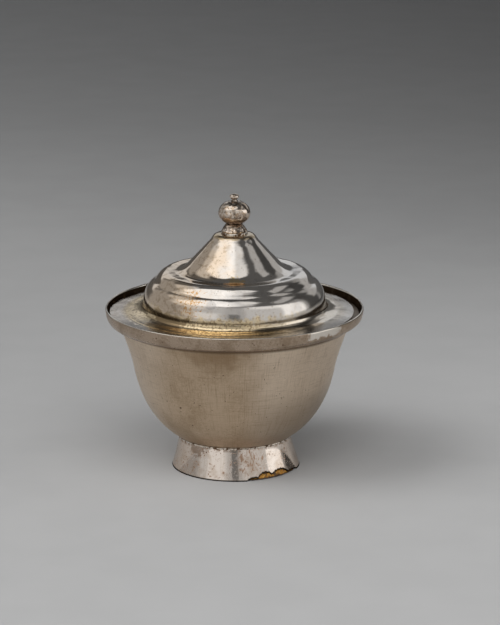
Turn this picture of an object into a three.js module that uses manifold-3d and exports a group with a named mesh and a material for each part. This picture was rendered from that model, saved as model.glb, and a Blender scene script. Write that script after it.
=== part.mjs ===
// Covered sugar bowl in silver: a raised bowl on a strip foot, with a railed rim band
// and a lift-off domed cover that carries a pinned ball finial.
// Millimetres, +Z up, origin on the table under the centre of the foot.
import * as THREE from 'three';
import { mergeVertices } from 'three/addons/utils/BufferGeometryUtils.js';
import Module from 'manifold-3d';

const degrees = Math.PI / 180;

// Bowl, heights measured from its underside
const bowlBaseHeight = 7.4;
const bowlWall = 1.0;
const bellyRadius = 39.8;
const bellyHeight = 33.45;
const bellySlope = 10.2 * degrees;
const baseCurveLength = 26.5;
const bellyCurveLength = 17.3;
const flareStartLength = 4.8;
const flareEndLength = 5.1;
const neckHeight = 51.0;
const neckSlope = 22 * degrees;
const lipRise = 3.5;
const lipBend = 0.6;

// Rim band, soldered round the bowl's turned-out lip, its upper edge standing as a rail
const rimRadius = 50.8;
const bandReach = 5.25;
const bandTaper = 3.1;
const bandRoll = 1.2;
const railHeight = 2.6;
const railThickness = 0.8;
const railLean = 0.85;
const bandEdgeRound = 0.35;

// Foot, a strip bent into a ring and drawn in to a slight waist
const footBaseRadius = 25.35;
const footTopRadius = 22.1;
const footWaist = 0.6;
const footWall = 1.2;

// Break in the foot's lower edge, and the wax pressed into it from behind
const chipDirection = 39 * degrees;
const chipWidth = 16.2;
const chipHeight = 3.1;
const chipDip = 0.9;
const chipEndHeight = 1.2;
const fillRecess = 0.35;
const fillBacking = 2.2;
const fillMargin = 1.8;
const fillLift = 0.3;

// Fits
const solderSeam = 0.15;
const coverPlay = 1.2;
const seatClearance = 0.2;
const pinClearance = 0.1;
const fillClearance = 0.3;

// Cover, heights measured from the upper face of its brim
const coverWall = 0.7;
const brimRise = 0.25;
const brimInnerRadius = 41.0;
const lowerTierBaseRadius = 35.9;
const lowerTierBaseHeight = 2.8;
const lowerTierTaper = 0.3;
const lowerTierTopRadius = 32.0;
const lowerTierTopHeight = 11.9;
const valleyRise = 0.6;
const riserFootRadius = 30.4;
const riserSlope = 0.45;
const upperTierShoulderRadius = 26.7;
const upperTierHeight = 16.3;
const stepRise = 0.25;
const flareRadius = 23.5;
const coneBaseRadius = 17.9;
const coneBaseHeight = 19.4;
const coneTopRadius = 9.8;
const coneTopHeight = 28.1;
const crownRadius = 6.3;
const crownHeight = 31.1;
const crownEase = 2.0;

// Shares of a curve's own height or run, at which its roundness begins and ends
const wallStart = 0.3;
const wallEnd = 0.93;
const shoulderStart = 0.15;

// Finial, stacked on the crown and held by one pin
const pinRadius = 0.9;
const collarBaseRadius = 4.5;
const collarRadius = 5.0;
const collarEdgeHeight = 1.6;
const collarTopRadius = 3.2;
const collarHeight = 3.9;
const collarSwell = 0.5;
const ballRadius = 6.25;
const ballHeight = 8.9;
const ballSeatRadius = 2.6;
const ballWall = 0.7;
const pinNeckRadius = 1.35;
const pinNeckHeight = 0.7;
const pinWaistRadius = 1.0;
const beadRadius = 1.6;
const beadHeight = 2.3;
const washerRadius = 3.0;
const washerThickness = 0.6;
const rivetRadius = 1.7;
const rivetHeight = 0.7;

// Facets: how many flats go round a turning, and how long a step is along a profile
const largeFacets = 44;
const smallFacets = 28;
const bowlStep = 6;
const coverStep = 2.8;
const finialStep = 1.8;
const fewestSteps = 4;

const neckRadius = rimRadius - bandReach;
const neckZ = bowlBaseHeight + neckHeight;
const ledgeZ = neckZ + lipRise;
const railTopZ = ledgeZ + railHeight;
const railFootRadius = rimRadius - railThickness - railLean;
const lipRadius = railFootRadius - solderSeam;
const brimRadius = railFootRadius - coverPlay;
const coverSeatZ = ledgeZ + seatClearance;

const wasm = await Module();
wasm.setup();

function silver(color, roughness) {
  return new THREE.MeshStandardMaterial({ color, roughness, metalness: 1 });
}

function at(radius, height) {
  return new THREE.Vector2(radius, height);
}

// Points along a path: one step for a straight, and steps of about one length on a curve
function pointsAlong(path, step) {
  const points = [path.curves[0].getPoint(0)];
  for (const curve of path.curves) {
    const curved = Math.max(fewestSteps, Math.round(curve.getLength() / step));
    const count = curve instanceof THREE.LineCurve ? 1 : curved;
    for (const next of curve.getPoints(count).slice(1)) {
      if (next.distanceTo(points.at(-1)) > Number.EPSILON * rimRadius) points.push(next);
    }
  }
  return points;
}

// The same line of points moved sideways, to the left of its direction
function offsetLine(points, distance) {
  const leftOf = (from, to) => at(from.y - to.y, to.x - from.x).normalize();
  return points.map((here, index) => {
    const before = points[index - 1];
    const after = points[index + 1];
    const first = before ? leftOf(before, here) : leftOf(here, after);
    const second = after ? leftOf(here, after) : first;
    const mitre = first.clone().add(second).normalize();
    const moved = here.clone().addScaledVector(mitre, distance / mitre.dot(first));
    return here.x === 0 ? at(0, moved.y) : moved;
  });
}

// A body turned about Z from a profile of radius and height
function turned(profile, facets) {
  return new THREE.LatheGeometry(profile, facets).rotateX(Math.PI / 2);
}

// A turned ring, whose profile comes back to its first point
function turnedRing(profile, facets) {
  return turned([...profile, profile[0].clone()], facets);
}

// A sheet of even thickness turned from the line of its outside
function turnedSheet(outside, wall, facets) {
  const inside = offsetLine(outside, wall).reverse();
  const onAxis = outside[0].x === 0;
  return onAxis ? turned([...outside, ...inside], facets) : turnedRing([...outside, ...inside], facets);
}

function toSolid(geometry) {
  const bare = geometry.clone();
  bare.deleteAttribute('normal');
  bare.deleteAttribute('uv');
  const merged = mergeVertices(bare);
  return new wasm.Manifold(new wasm.Mesh({
    numProp: 3,
    vertProperties: Float32Array.from(merged.attributes.position.array),
    triVerts: Uint32Array.from(merged.index.array),
  }));
}

function toGeometry(solid) {
  const mesh = solid.getMesh();
  const geometry = new THREE.BufferGeometry();
  geometry.setAttribute('position', new THREE.BufferAttribute(mesh.vertProperties, 3));
  geometry.setIndex(new THREE.BufferAttribute(mesh.triVerts, 1));
  geometry.computeVertexNormals();
  return geometry;
}

// Outside of the raised bowl: one curve for the belly, one for the flare, and a lip bent
// out flat to make the ledge that the cover rests on
function bowlPath() {
  const bellyZ = bowlBaseHeight + bellyHeight;
  const underLedgeZ = ledgeZ - bowlWall;
  const bendCentreZ = underLedgeZ - lipBend;
  const bendStartZ = bendCentreZ + lipBend * Math.sin(neckSlope);
  const bendStartRadius = neckRadius + Math.tan(neckSlope) * (bendStartZ - neckZ);
  const bendCentreRadius = bendStartRadius + lipBend * Math.cos(neckSlope);
  const path = new THREE.Path();
  path.moveTo(0, bowlBaseHeight);
  path.bezierCurveTo(
    baseCurveLength, bowlBaseHeight,
    bellyRadius - bellyCurveLength * Math.sin(bellySlope),
    bellyZ - bellyCurveLength * Math.cos(bellySlope),
    bellyRadius, bellyZ,
  );
  path.bezierCurveTo(
    bellyRadius + flareStartLength * Math.sin(bellySlope),
    bellyZ + flareStartLength * Math.cos(bellySlope),
    neckRadius - flareEndLength * Math.sin(neckSlope),
    neckZ - flareEndLength * Math.cos(neckSlope),
    neckRadius, neckZ,
  );
  path.lineTo(bendStartRadius, bendStartZ);
  path.absarc(bendCentreRadius, bendCentreZ, lipBend, Math.PI - neckSlope, Math.PI / 2, true);
  path.lineTo(lipRadius, underLedgeZ);
  return path;
}

const bowlOutside = pointsAlong(bowlPath(), bowlStep);

function bowlGeometry() {
  return turnedSheet(bowlOutside, bowlWall, largeFacets);
}

// Height of the bowl's outside at a radius below the neck
function bowlHeightAt(radius) {
  const outer = bowlOutside.findIndex((place) => place.x >= radius);
  const inner = bowlOutside[outer - 1];
  const share = (radius - inner.x) / (bowlOutside[outer].x - inner.x);
  return inner.y + share * (bowlOutside[outer].y - inner.y);
}

// Rim band: its inside follows the bowl's neck and lip with a solder seam between, and
// its outside rolls under from the thin upright rail to the lower edge
function rimBandGeometry() {
  const hugging = offsetLine(bowlOutside, -solderSeam).filter((place) => place.y > neckZ - solderSeam);
  const underLip = hugging.at(-1).y;
  const lowerRadius = rimRadius - bandTaper;
  const bottomZ = hugging[0].y;
  const edgeZ = railTopZ - bandEdgeRound;
  const outside = new THREE.Path();
  outside.moveTo(railFootRadius, underLip);
  outside.lineTo(railFootRadius, ledgeZ);
  outside.lineTo(rimRadius - railThickness, edgeZ);
  outside.quadraticCurveTo(rimRadius - railThickness / 2, railTopZ + bandEdgeRound, rimRadius, edgeZ);
  outside.quadraticCurveTo(rimRadius, bottomZ + bandRoll, lowerRadius, bottomZ + bandEdgeRound);
  outside.lineTo(lowerRadius - bandEdgeRound, bottomZ);
  const profile = [...pointsAlong(outside, coverStep), ...hugging];
  return turnedRing(profile.reverse(), largeFacets);
}

// Foot strip between two depths behind its face, its upper edge fitted to the bowl
function footBand(frontDepth, backDepth, baseZ) {
  const topZ = bowlHeightAt(footTopRadius) - solderSeam;
  const waistRadius = (footBaseRadius + footTopRadius) / 2 - footWaist;
  const face = new THREE.Path();
  face.moveTo(footBaseRadius, baseZ);
  face.quadraticCurveTo(waistRadius, (baseZ + topZ) / 2, footTopRadius, topZ);
  const facePoints = pointsAlong(face, coverStep);
  const upperEdge = facePoints.at(-1);
  const layer = (depth) => facePoints.map((place) => {
    const radius = place.x - depth;
    return at(radius, place === upperEdge ? bowlHeightAt(radius) - solderSeam : place.y);
  });
  return toSolid(turnedRing([...layer(frontDepth), ...layer(backDepth).reverse()], largeFacets));
}

// A block with the ragged outline of the break, grown by a margin, that reaches from the
// axis out through the foot: two crests with a dip between, and an abrupt far end
function chipBlock(margin) {
  const half = chipWidth / 2 + margin;
  const crest = chipHeight + margin;
  const dip = crest - chipDip;
  const outline = new THREE.Shape();
  outline.moveTo(-half, -footWall);
  outline.lineTo(-half, margin);
  outline.quadraticCurveTo(-half / 2, crest, -half / 3, crest);
  outline.quadraticCurveTo(-half / 6, crest, -half / 8, dip);
  outline.quadraticCurveTo(half / 4, crest + chipDip, half / 2, dip + chipDip / 2);
  outline.quadraticCurveTo(half - chipDip, dip, half, chipEndHeight + margin);
  outline.lineTo(half, -footWall);
  const block = new THREE.ExtrudeGeometry(outline, {
    depth: 2 * footBaseRadius,
    bevelEnabled: false,
    curveSegments: fewestSteps,
  });
  block.rotateX(Math.PI / 2);
  block.rotateZ(chipDirection);
  return toSolid(block);
}

function footRingGeometry() {
  return toGeometry(footBand(0, footWall, 0).subtract(chipBlock(0)));
}

// Wax: a tongue in the break, a little behind the foot's face, on a pad behind the wall
function edgeFillGeometry() {
  const padFront = footWall + fillClearance;
  const padBack = padFront + fillBacking;
  const pad = footBand(padFront, padBack, fillLift).intersect(chipBlock(fillMargin));
  const tongue = footBand(fillRecess, padBack, fillLift).intersect(chipBlock(-fillClearance));
  return toGeometry(pad.add(tongue));
}

// Outside of the cover, from the edge of the brim up to the hole for the pin
function coverPath() {
  const tierHeight = lowerTierTopHeight - lowerTierBaseHeight;
  const uprightRadius = lowerTierBaseRadius - lowerTierTaper;
  const riserHeight = upperTierHeight - lowerTierTopHeight - valleyRise;
  const stepHeight = upperTierHeight + stepRise;
  const coneRun = coneBaseRadius - coneTopRadius;
  const coneRise = coneTopHeight - coneBaseHeight;
  const flareCorner = coneBaseRadius + (coneBaseHeight - stepHeight) * coneRun / coneRise;
  const path = new THREE.Path();
  path.moveTo(brimRadius, 0);
  path.lineTo(brimInnerRadius, brimRise);
  path.quadraticCurveTo(lowerTierBaseRadius + brimRise, brimRise, lowerTierBaseRadius, lowerTierBaseHeight);
  path.bezierCurveTo(
    uprightRadius, lowerTierBaseHeight + wallStart * tierHeight,
    uprightRadius, lowerTierBaseHeight + wallEnd * tierHeight,
    lowerTierTopRadius, lowerTierTopHeight,
  );
  path.quadraticCurveTo(
    riserFootRadius + riserSlope * valleyRise, lowerTierTopHeight,
    riserFootRadius, lowerTierTopHeight + valleyRise,
  );
  path.quadraticCurveTo(
    riserFootRadius - riserSlope * riserHeight, upperTierHeight,
    upperTierShoulderRadius, upperTierHeight,
  );
  path.lineTo(flareRadius, stepHeight);
  path.quadraticCurveTo(flareCorner, stepHeight, coneBaseRadius, coneBaseHeight);
  path.lineTo(coneTopRadius, coneTopHeight);
  path.bezierCurveTo(
    coneTopRadius - shoulderStart * coneRun, coneTopHeight + shoulderStart * coneRise,
    crownRadius + crownEase, crownHeight,
    crownRadius, crownHeight,
  );
  path.lineTo(pinRadius + pinClearance, crownHeight);
  return path;
}

function coverGeometry() {
  return turnedSheet(pointsAlong(coverPath(), coverStep), coverWall, largeFacets);
}

// Collar: a half bead whose sharp edge stands out over the crown
function collarGeometry() {
  const path = new THREE.Path();
  path.moveTo(collarBaseRadius, 0);
  path.lineTo(collarRadius, collarEdgeHeight);
  path.quadraticCurveTo(
    (collarRadius + collarTopRadius) / 2 + collarSwell, (collarEdgeHeight + collarHeight) / 2 + collarSwell,
    collarTopRadius, collarHeight,
  );
  path.lineTo(pinRadius + pinClearance, collarHeight);
  path.lineTo(pinRadius + pinClearance, 0);
  return turnedRing(pointsAlong(path, finialStep), smallFacets);
}

// Lower half of the hollow ball, from the flat that sits on the collar to the equator
function ballHalfProfile() {
  const middle = ballHeight / 2;
  const outerStart = Math.acos(ballSeatRadius / ballRadius);
  const outerRise = middle / Math.sin(outerStart);
  const innerRise = outerRise - ballWall;
  const innerStart = Math.asin((middle - ballWall) / innerRise);
  const path = new THREE.Path();
  path.moveTo(pinRadius + pinClearance, 0);
  path.absellipse(0, middle, ballRadius, outerRise, -outerStart, 0, false);
  path.absellipse(0, middle, ballRadius - ballWall, innerRise, 0, -innerStart, true);
  path.lineTo(pinRadius + pinClearance, ballWall);
  return pointsAlong(path, finialStep);
}

function lowerBallGeometry() {
  return turnedRing(ballHalfProfile(), smallFacets);
}

function upperBallGeometry() {
  const mirrored = ballHalfProfile().map((place) => at(place.x, ballHeight - place.y));
  return turnedRing(mirrored.reverse(), smallFacets);
}

// Pin: a riveted foot under the washer, a shank through the stack, and a bead on a neck
function pinGeometry() {
  const headTop = -coverWall - washerThickness;
  const shankTop = collarHeight + ballHeight;
  const beadMiddle = shankTop + pinNeckHeight + beadHeight / 2;
  const path = new THREE.Path();
  path.moveTo(0, headTop - rivetHeight);
  path.quadraticCurveTo(rivetRadius, headTop - rivetHeight, rivetRadius, headTop);
  path.lineTo(pinRadius, headTop);
  path.lineTo(pinRadius, shankTop);
  path.lineTo(pinNeckRadius, shankTop);
  path.absellipse(
    0, beadMiddle, beadRadius, beadHeight / 2,
    -Math.acos(pinWaistRadius / beadRadius), Math.PI / 2, false,
  );
  const profile = pointsAlong(path, finialStep);
  profile.at(-1).x = 0;
  return turned(profile, smallFacets);
}

function washerGeometry() {
  const hole = pinRadius + pinClearance;
  const profile = [
    at(hole, 0),
    at(washerRadius, 0),
    at(washerRadius, washerThickness),
    at(hole, washerThickness),
  ];
  return turnedRing(profile, smallFacets);
}

function piece(name, geometry, material, z = 0) {
  const mesh = new THREE.Mesh(geometry, material);
  mesh.name = name;
  mesh.position.z = z;
  return mesh;
}

const satinSilver = silver(0xa89d8b, 0.42);
const bandSilver = silver(0xa3968a, 0.4);
const footSilver = silver(0xb5a9a0, 0.3);
const brightSilver = silver(0xb9ae9d, 0.18);
const castSilver = silver(0xb09a88, 0.25);
const amberWax = new THREE.MeshStandardMaterial({ color: 0x9a6420, roughness: 0.5, metalness: 0 });

const body = new THREE.Group();
body.add(
  piece('bowl', bowlGeometry(), satinSilver),
  piece('rim_band', rimBandGeometry(), bandSilver),
  piece('foot_ring', footRingGeometry(), footSilver),
  piece('foot_edge_fill', edgeFillGeometry(), amberWax),
);

const finial = new THREE.Group();
finial.position.z = crownHeight;
finial.add(
  piece('finial_collar', collarGeometry(), castSilver),
  piece('finial_ball_lower', lowerBallGeometry(), castSilver, collarHeight),
  piece('finial_ball_upper', upperBallGeometry(), castSilver, collarHeight),
  piece('finial_pin', pinGeometry(), castSilver),
  piece('pin_washer', washerGeometry(), castSilver, -coverWall - washerThickness),
);

const cover = new THREE.Group();
cover.position.z = coverSeatZ + coverWall;
cover.add(piece('cover', coverGeometry(), brightSilver), finial);

const sugarBowl = new THREE.Group();
sugarBowl.add(body, cover);

export default sugarBowl;
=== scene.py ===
"""Looks of a covered silver sugar bowl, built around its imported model.

Sizes in the fields are in millimetres and angles in degrees, and meshes are made in metres.
The axis of the bowl is Z, its front faces -Y, and it stands on the floor at Z = 0.
"""

import logging
import math
from dataclasses import dataclass
from enum import Enum
from functools import partial, reduce
from typing import Callable, NamedTuple, Sequence

import bmesh
import bpy
import numpy as np
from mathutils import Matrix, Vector


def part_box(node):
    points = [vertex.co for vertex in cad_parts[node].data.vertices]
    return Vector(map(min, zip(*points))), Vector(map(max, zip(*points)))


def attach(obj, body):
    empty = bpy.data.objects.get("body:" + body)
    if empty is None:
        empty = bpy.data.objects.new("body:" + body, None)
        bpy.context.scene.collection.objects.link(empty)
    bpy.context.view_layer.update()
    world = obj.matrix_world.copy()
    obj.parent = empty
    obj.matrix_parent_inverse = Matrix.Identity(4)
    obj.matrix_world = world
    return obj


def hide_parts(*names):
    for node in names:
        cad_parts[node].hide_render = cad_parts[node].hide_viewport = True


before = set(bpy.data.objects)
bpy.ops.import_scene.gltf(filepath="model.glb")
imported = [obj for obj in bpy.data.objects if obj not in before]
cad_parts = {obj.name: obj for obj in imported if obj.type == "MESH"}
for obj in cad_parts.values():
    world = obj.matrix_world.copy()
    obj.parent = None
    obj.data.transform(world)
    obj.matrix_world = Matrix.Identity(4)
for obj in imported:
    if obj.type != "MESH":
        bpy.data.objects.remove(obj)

MM = 0.001
SHARP_ANGLE = math.radians(38)
WELD = 0.002
BEAD_STEP = 0.1
HAIR = 0.01
WHITE = (1.0, 1.0, 1.0)

Pair = tuple[float, float]
Colour = tuple[float, float, float]
Place = tuple[float, float, float]
Array = np.ndarray
Line = list[np.ndarray]
Mesh = bpy.types.Mesh
Piece = bpy.types.Object
Material = bpy.types.Material
Outputs = bpy.types.NodeOutputs
Socket = bpy.types.NodeSocket
log = logging.getLogger("sugar_bowl")


class Body(Enum):
    """The two loose bodies of the object."""

    BOWL = "bowl"
    COVER = "cover"


class Slot(Enum):
    """Finishes that the record names."""

    SATIN = "satin_silver"
    BAND = "band_silver"
    FOOT = "foot_silver"
    BRIGHT = "bright_silver"
    FINIAL = "finial_silver"
    WAX = "amber_wax"


class Ends(Enum):
    """What a mesh of loops does at its two ends."""

    JOINED = "joined"
    CAPPED = "capped"
    OPEN = "open"


class Coat(NamedTuple):
    """A colour that lies over others, and how much of them it covers."""

    colour: Colour
    strength: float = 1.0


class Span(NamedTuple):
    """Values at which a share sets in and is full, and its weight."""

    start: float
    full: float
    weight: float = 1.0


class Zone(NamedTuple):
    """A stretch between two values, whose soft edges reach a width to either side."""

    low: float
    high: float
    edge: float


class Cloud(NamedTuple):
    """A cloud pattern.

    It has the size of its clouds, how many finer layers are added and how much these weigh, the values
    at which it sets in and is full, a shift that makes it differ from others, how far an edge strays
    by it, and its weight.
    """

    size: float
    layers: float = 2.0
    start: float = 0.0
    full: float = 1.0
    shift: float = 0.0
    rough: float = 0.5
    reach: float = 0.0
    weight: float = 1.0

    @property
    def span(self) -> Span:
        """Values at which the pattern sets in and is full, with its weight."""
        return Span(self.start, self.full, self.weight)


class Spot(NamedTuple):
    """A ragged spot: its middle, its radius, the share by which its edge strays, its grain and weight."""

    centre: Place
    reach: float
    ragged: float
    grain: float
    weight: float = 1.0


class Dots(NamedTuple):
    """Small ragged dots of one radius, whose edges stray by a share of it, and their weight."""

    places: tuple[Place, ...]
    reach: float
    ragged: float = 0.35
    weight: float = 1.0


class Strokes(NamedTuple):
    """Fine strokes of a width and a length, true to size at a radius where they stand upright."""

    width: float
    length: float
    reach: float = 0.0
    layers: float = 3.0


class Dents(NamedTuple):
    """Shallow dents all over a piece: their depth, their width and the number of their pattern."""

    depth: float
    size: float
    seed: int


class Signal:
    """A number at each point, reckoned by nodes: + - and * as usual, and | for the larger one."""

    def __init__(self, wiring: "Wiring", socket: Socket) -> None:
        """Hold the socket that gives the number."""
        self.wiring, self.socket = wiring, socket

    def __add__(self, other: "Value") -> "Signal":
        """Add a number."""
        return self.wiring.math("ADD", self, other)

    def __sub__(self, other: "Value") -> "Signal":
        """Take a number away."""
        return self.wiring.math("SUBTRACT", self, other)

    def __mul__(self, other: "Value") -> "Signal":
        """Multiply by a number."""
        return self.wiring.math("MULTIPLY", self, other)

    def __or__(self, other: "Value") -> "Signal":
        """Keep the larger number."""
        return self.wiring.math("MAXIMUM", self, other)

    def past(self, span: Span) -> "Signal":
        """Give the share that goes smoothly from 0 to its weight over a span."""
        inputs = {"Value": self, "From Min": span.start, "From Max": span.full, "To Max": span.weight}
        return self.wiring.signal("ShaderNodeMapRange", inputs, "Result", interpolation_type="SMOOTHSTEP")

    def within(self, zone: Zone) -> "Signal":
        """Give 1 inside a zone, with its soft edges."""
        low, high, edge = zone
        return self.past(Span(low - edge, low + edge)) * self.past(Span(high + edge, high - edge))


Value = Signal | Socket | float


class Wiring:
    """Adds nodes to one tree, and joins each to others as it is added."""

    def __init__(self, tree: bpy.types.NodeTree) -> None:
        """Hold the tree that gets the nodes."""
        self.tree = tree

    def add(self, kind: str, inputs: dict | None = None, **settings: object) -> bpy.types.Node:
        """Add one node.

        Args:
            kind: identifier of the node's type.
            inputs: for inputs by name or number, a plain value or the socket to join.
            settings: properties of the node itself.

        Returns:
            The new node.
        """
        node = self.tree.nodes.new(kind)
        for name, value in settings.items():
            setattr(node, name, value)
        for key, value in (inputs or {}).items():
            target, value = node.inputs[key], getattr(value, "socket", value)
            if isinstance(value, Socket):
                self.tree.links.new(value, target)
            else:
                target.default_value = (*value, 1.0) if target.type == "RGBA" else value
        return node

    def signal(self, kind: str, inputs: dict, output: int | str = 0, **settings: object) -> Signal:
        """Add one node and reckon with one of its outputs."""
        return Signal(self, self.add(kind, inputs, **settings).outputs[output])

    def math(self, operation: str, first: Value, second: Value = 0.0) -> Signal:
        """Join two numbers by one operation of the Math node."""
        return self.signal("ShaderNodeMath", {0: first, 1: second}, operation=operation)

    def vector(self, operation: str, first: object, second: object = (0, 0, 0)) -> Socket:
        """Join two vectors by one operation of the Vector Math node."""
        return self.add("ShaderNodeVectorMath", {0: first, 1: second}, operation=operation).outputs[0]

    def distance(self, first: Socket, second: object = (0, 0, 0)) -> Signal:
        """Find how far two places lie apart."""
        return self.signal("ShaderNodeVectorMath", {0: first, 1: second}, "Value", operation="DISTANCE")

    def scaled(self, vector: Socket, factor: Value) -> Socket:
        """Multiply a vector by a number."""
        return self.add("ShaderNodeVectorMath", {0: vector, "Scale": factor}, operation="SCALE").outputs[0]

    def parts(self, vector: Socket) -> list[Signal]:
        """Split a vector into X, Y and Z."""
        return [Signal(self, part) for part in self.add("ShaderNodeSeparateXYZ", {0: vector}).outputs]

    def joined(self, x: Value, y: Value, z: Value) -> Socket:
        """Make a vector of three numbers."""
        return self.add("ShaderNodeCombineXYZ", {0: x, 1: y, 2: z}).outputs[0]


class Paint(Wiring):
    """Wiring for one material, with the patterns that the finishes share.

    Patterns read Object coordinates in millimetres, and have values about 0.5. Shares go from 0 to 1.
    """

    RING_RADIUS = 40.0
    RING_RISE = 1.3
    STROKE_ROUGH = 0.6
    FRAY = 4.0
    SPOT_EDGE = (1.15, 0.85)
    DOT_EDGE = (1.2, 0.7)
    DOT_GRAIN = 0.8
    DOT_SHIFT = 17.0

    def __init__(self, name: str, base: Colour = WHITE) -> None:
        """Make an empty material with the colour that lies under all others."""
        self.material = bpy.data.materials.new(name)
        self.material.use_nodes = True
        super().__init__(self.material.node_tree)
        self.tree.nodes.clear()
        self.base: object = base
        self.place = self.scaled(self.add("ShaderNodeTexCoord").outputs["Object"], 1 / MM)
        self.x, self.y, self.height = self.parts(self.place)
        flat = self.joined(self.x, self.y, 0.0)
        self.radius = self.distance(flat)
        self.around = self.vector("NORMALIZE", flat)

    def noise(self, cloud: Cloud, place: Socket | None = None) -> Signal:
        """Lay a cloud pattern.

        Args:
            cloud: the pattern.
            place: position socket in millimetres, or None for the plain one.

        Returns:
            Number about 0.5.
        """
        moved = self.vector("ADD", place or self.place, (cloud.shift,) * 3)
        return self.signal("ShaderNodeTexNoise", {
            "Vector": moved, "Scale": 1 / cloud.size, "Detail": cloud.layers, "Roughness": cloud.rough,
        })

    def patches(self, cloud: Cloud) -> Signal:
        """Find the share of a cloud pattern that has set in."""
        return self.noise(cloud).past(cloud.span)

    def waver(self, cloud: Cloud) -> Signal:
        """Stray up and down by a cloud pattern, over its reach."""
        return (self.noise(cloud) - 0.5) * cloud.reach

    def strokes(self, strokes: Strokes) -> Signal:
        """Lay fine upright strokes round the axis.

        Args:
            strokes: their size.

        Returns:
            Number about 0.5.
        """
        x, y, _ = self.parts(self.scaled(self.around, strokes.reach))
        drawn = self.joined(x, y, self.height * (strokes.width / strokes.length))
        return self.noise(Cloud(strokes.width, strokes.layers, rough=self.STROKE_ROUGH), drawn)

    def rings(self, strokes: Strokes) -> Signal:
        """Lay fine strokes that run round the axis.

        Args:
            strokes: their size, of which the length is true at one radius.

        Returns:
            Number about 0.5.
        """
        x, y, _ = self.parts(self.around)
        long = self.RING_RADIUS * strokes.width / strokes.length
        drawn = self.joined(x * long, y * long, self.radius + self.height * self.RING_RISE)
        return self.noise(Cloud(strokes.width, strokes.layers, rough=self.STROKE_ROUGH), drawn)

    def sides(self, left: Span, right: Span) -> Signal:
        """Find what lies to the left or right of the middle, past two spans."""
        return self.x.past(left) | self.x.past(right)

    def frayed(self, away: Signal, mark: Spot | Dots, grain: Cloud, edge: Pair) -> Signal:
        """Mark what lies within the radius of a spot or dots, with a ragged edge.

        Args:
            away: the distance of each point.
            mark: the spot or dots.
            grain: pattern of the raggedness.
            edge: where the edge begins and ends, as shares of the radius.

        Returns:
            Share.
        """
        stray = self.waver(grain._replace(reach=self.FRAY * mark.ragged * mark.reach))
        return (away + stray).past(Span(mark.reach * edge[0], mark.reach * edge[1], mark.weight))

    def spot(self, spot: Spot) -> Signal:
        """Mark a ragged spot."""
        away = self.distance(self.place, spot.centre)
        return self.frayed(away, spot, Cloud(spot.grain, 3.0), self.SPOT_EDGE)

    def dots(self, dots: Dots) -> Signal:
        """Mark small ragged dots.

        Args:
            dots: the dots.

        Returns:
            Share.
        """
        away = (self.distance(self.place, place) for place in dots.places)
        nearest = reduce(partial(self.math, "MINIMUM"), away)
        grain = Cloud(dots.reach * self.DOT_GRAIN, shift=self.DOT_SHIFT)
        return self.frayed(nearest, dots, grain, self.DOT_EDGE)

    def attribute(self, name: str) -> Signal:
        """Read a number that the mesh carries at each point."""
        return self.signal("ShaderNodeAttribute", {}, "Fac", attribute_name=name)

    def level(self, share: Value, under: Value, over: Value) -> Signal:
        """Go from one number to another by a share."""
        return self.signal("ShaderNodeMix", {0: share, 2: under, 3: over}, data_type="FLOAT")

    def colour(self, share: Value, under: object, over: object) -> Socket:
        """Go from one colour to another by a share."""
        return self.add("ShaderNodeMix", {0: share, 6: under, 7: over}, data_type="RGBA").outputs[2]

    def lay(self, coat: Coat, share: Signal) -> None:
        """Lay a coat over what is there, where a share says."""
        covered = share if coat.strength == 1 else share * coat.strength
        self.base = self.colour(covered, self.base, coat.colour)

    def relief(self, patterns: Sequence[Value], heights: Sequence[float]) -> Socket:
        """Turn patterns into small relief, each on the one before.

        Args:
            patterns: the patterns.
            heights: the heights in millimetres that they reach.

        Returns:
            Normal socket.
        """
        below = {}
        for pattern, height in zip(patterns, heights):
            inputs = {"Strength": 1.0, "Distance": height * MM, "Height": pattern, **below}
            below = {"Normal": self.add("ShaderNodeBump", inputs).outputs["Normal"]}
        return below["Normal"]

    def surface(self, rough: Value, **inputs: object) -> Material:
        """End the material with its shader.

        Args:
            rough: its roughness.
            inputs: other inputs of the Principled shader, with low lines for the spaces in their names.

        Returns:
            The finished material.
        """
        named = {name.replace("_", " "): value for name, value in inputs.items()}
        shader = self.add(
            "ShaderNodeBsdfPrincipled", {"Base Color": self.base, "Roughness": rough, **named},
        )
        self.add("ShaderNodeOutputMaterial", {"Surface": shader.outputs[0]})
        return self.material

    def metal(self, rough: Value, relief: Socket, edge: object = WHITE) -> Material:
        """End the material as metal, with a colour for its mirror images at grazing angles."""
        return self.surface(rough, Metallic=1.0, Normal=relief, Specular_Tint=edge)


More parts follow.
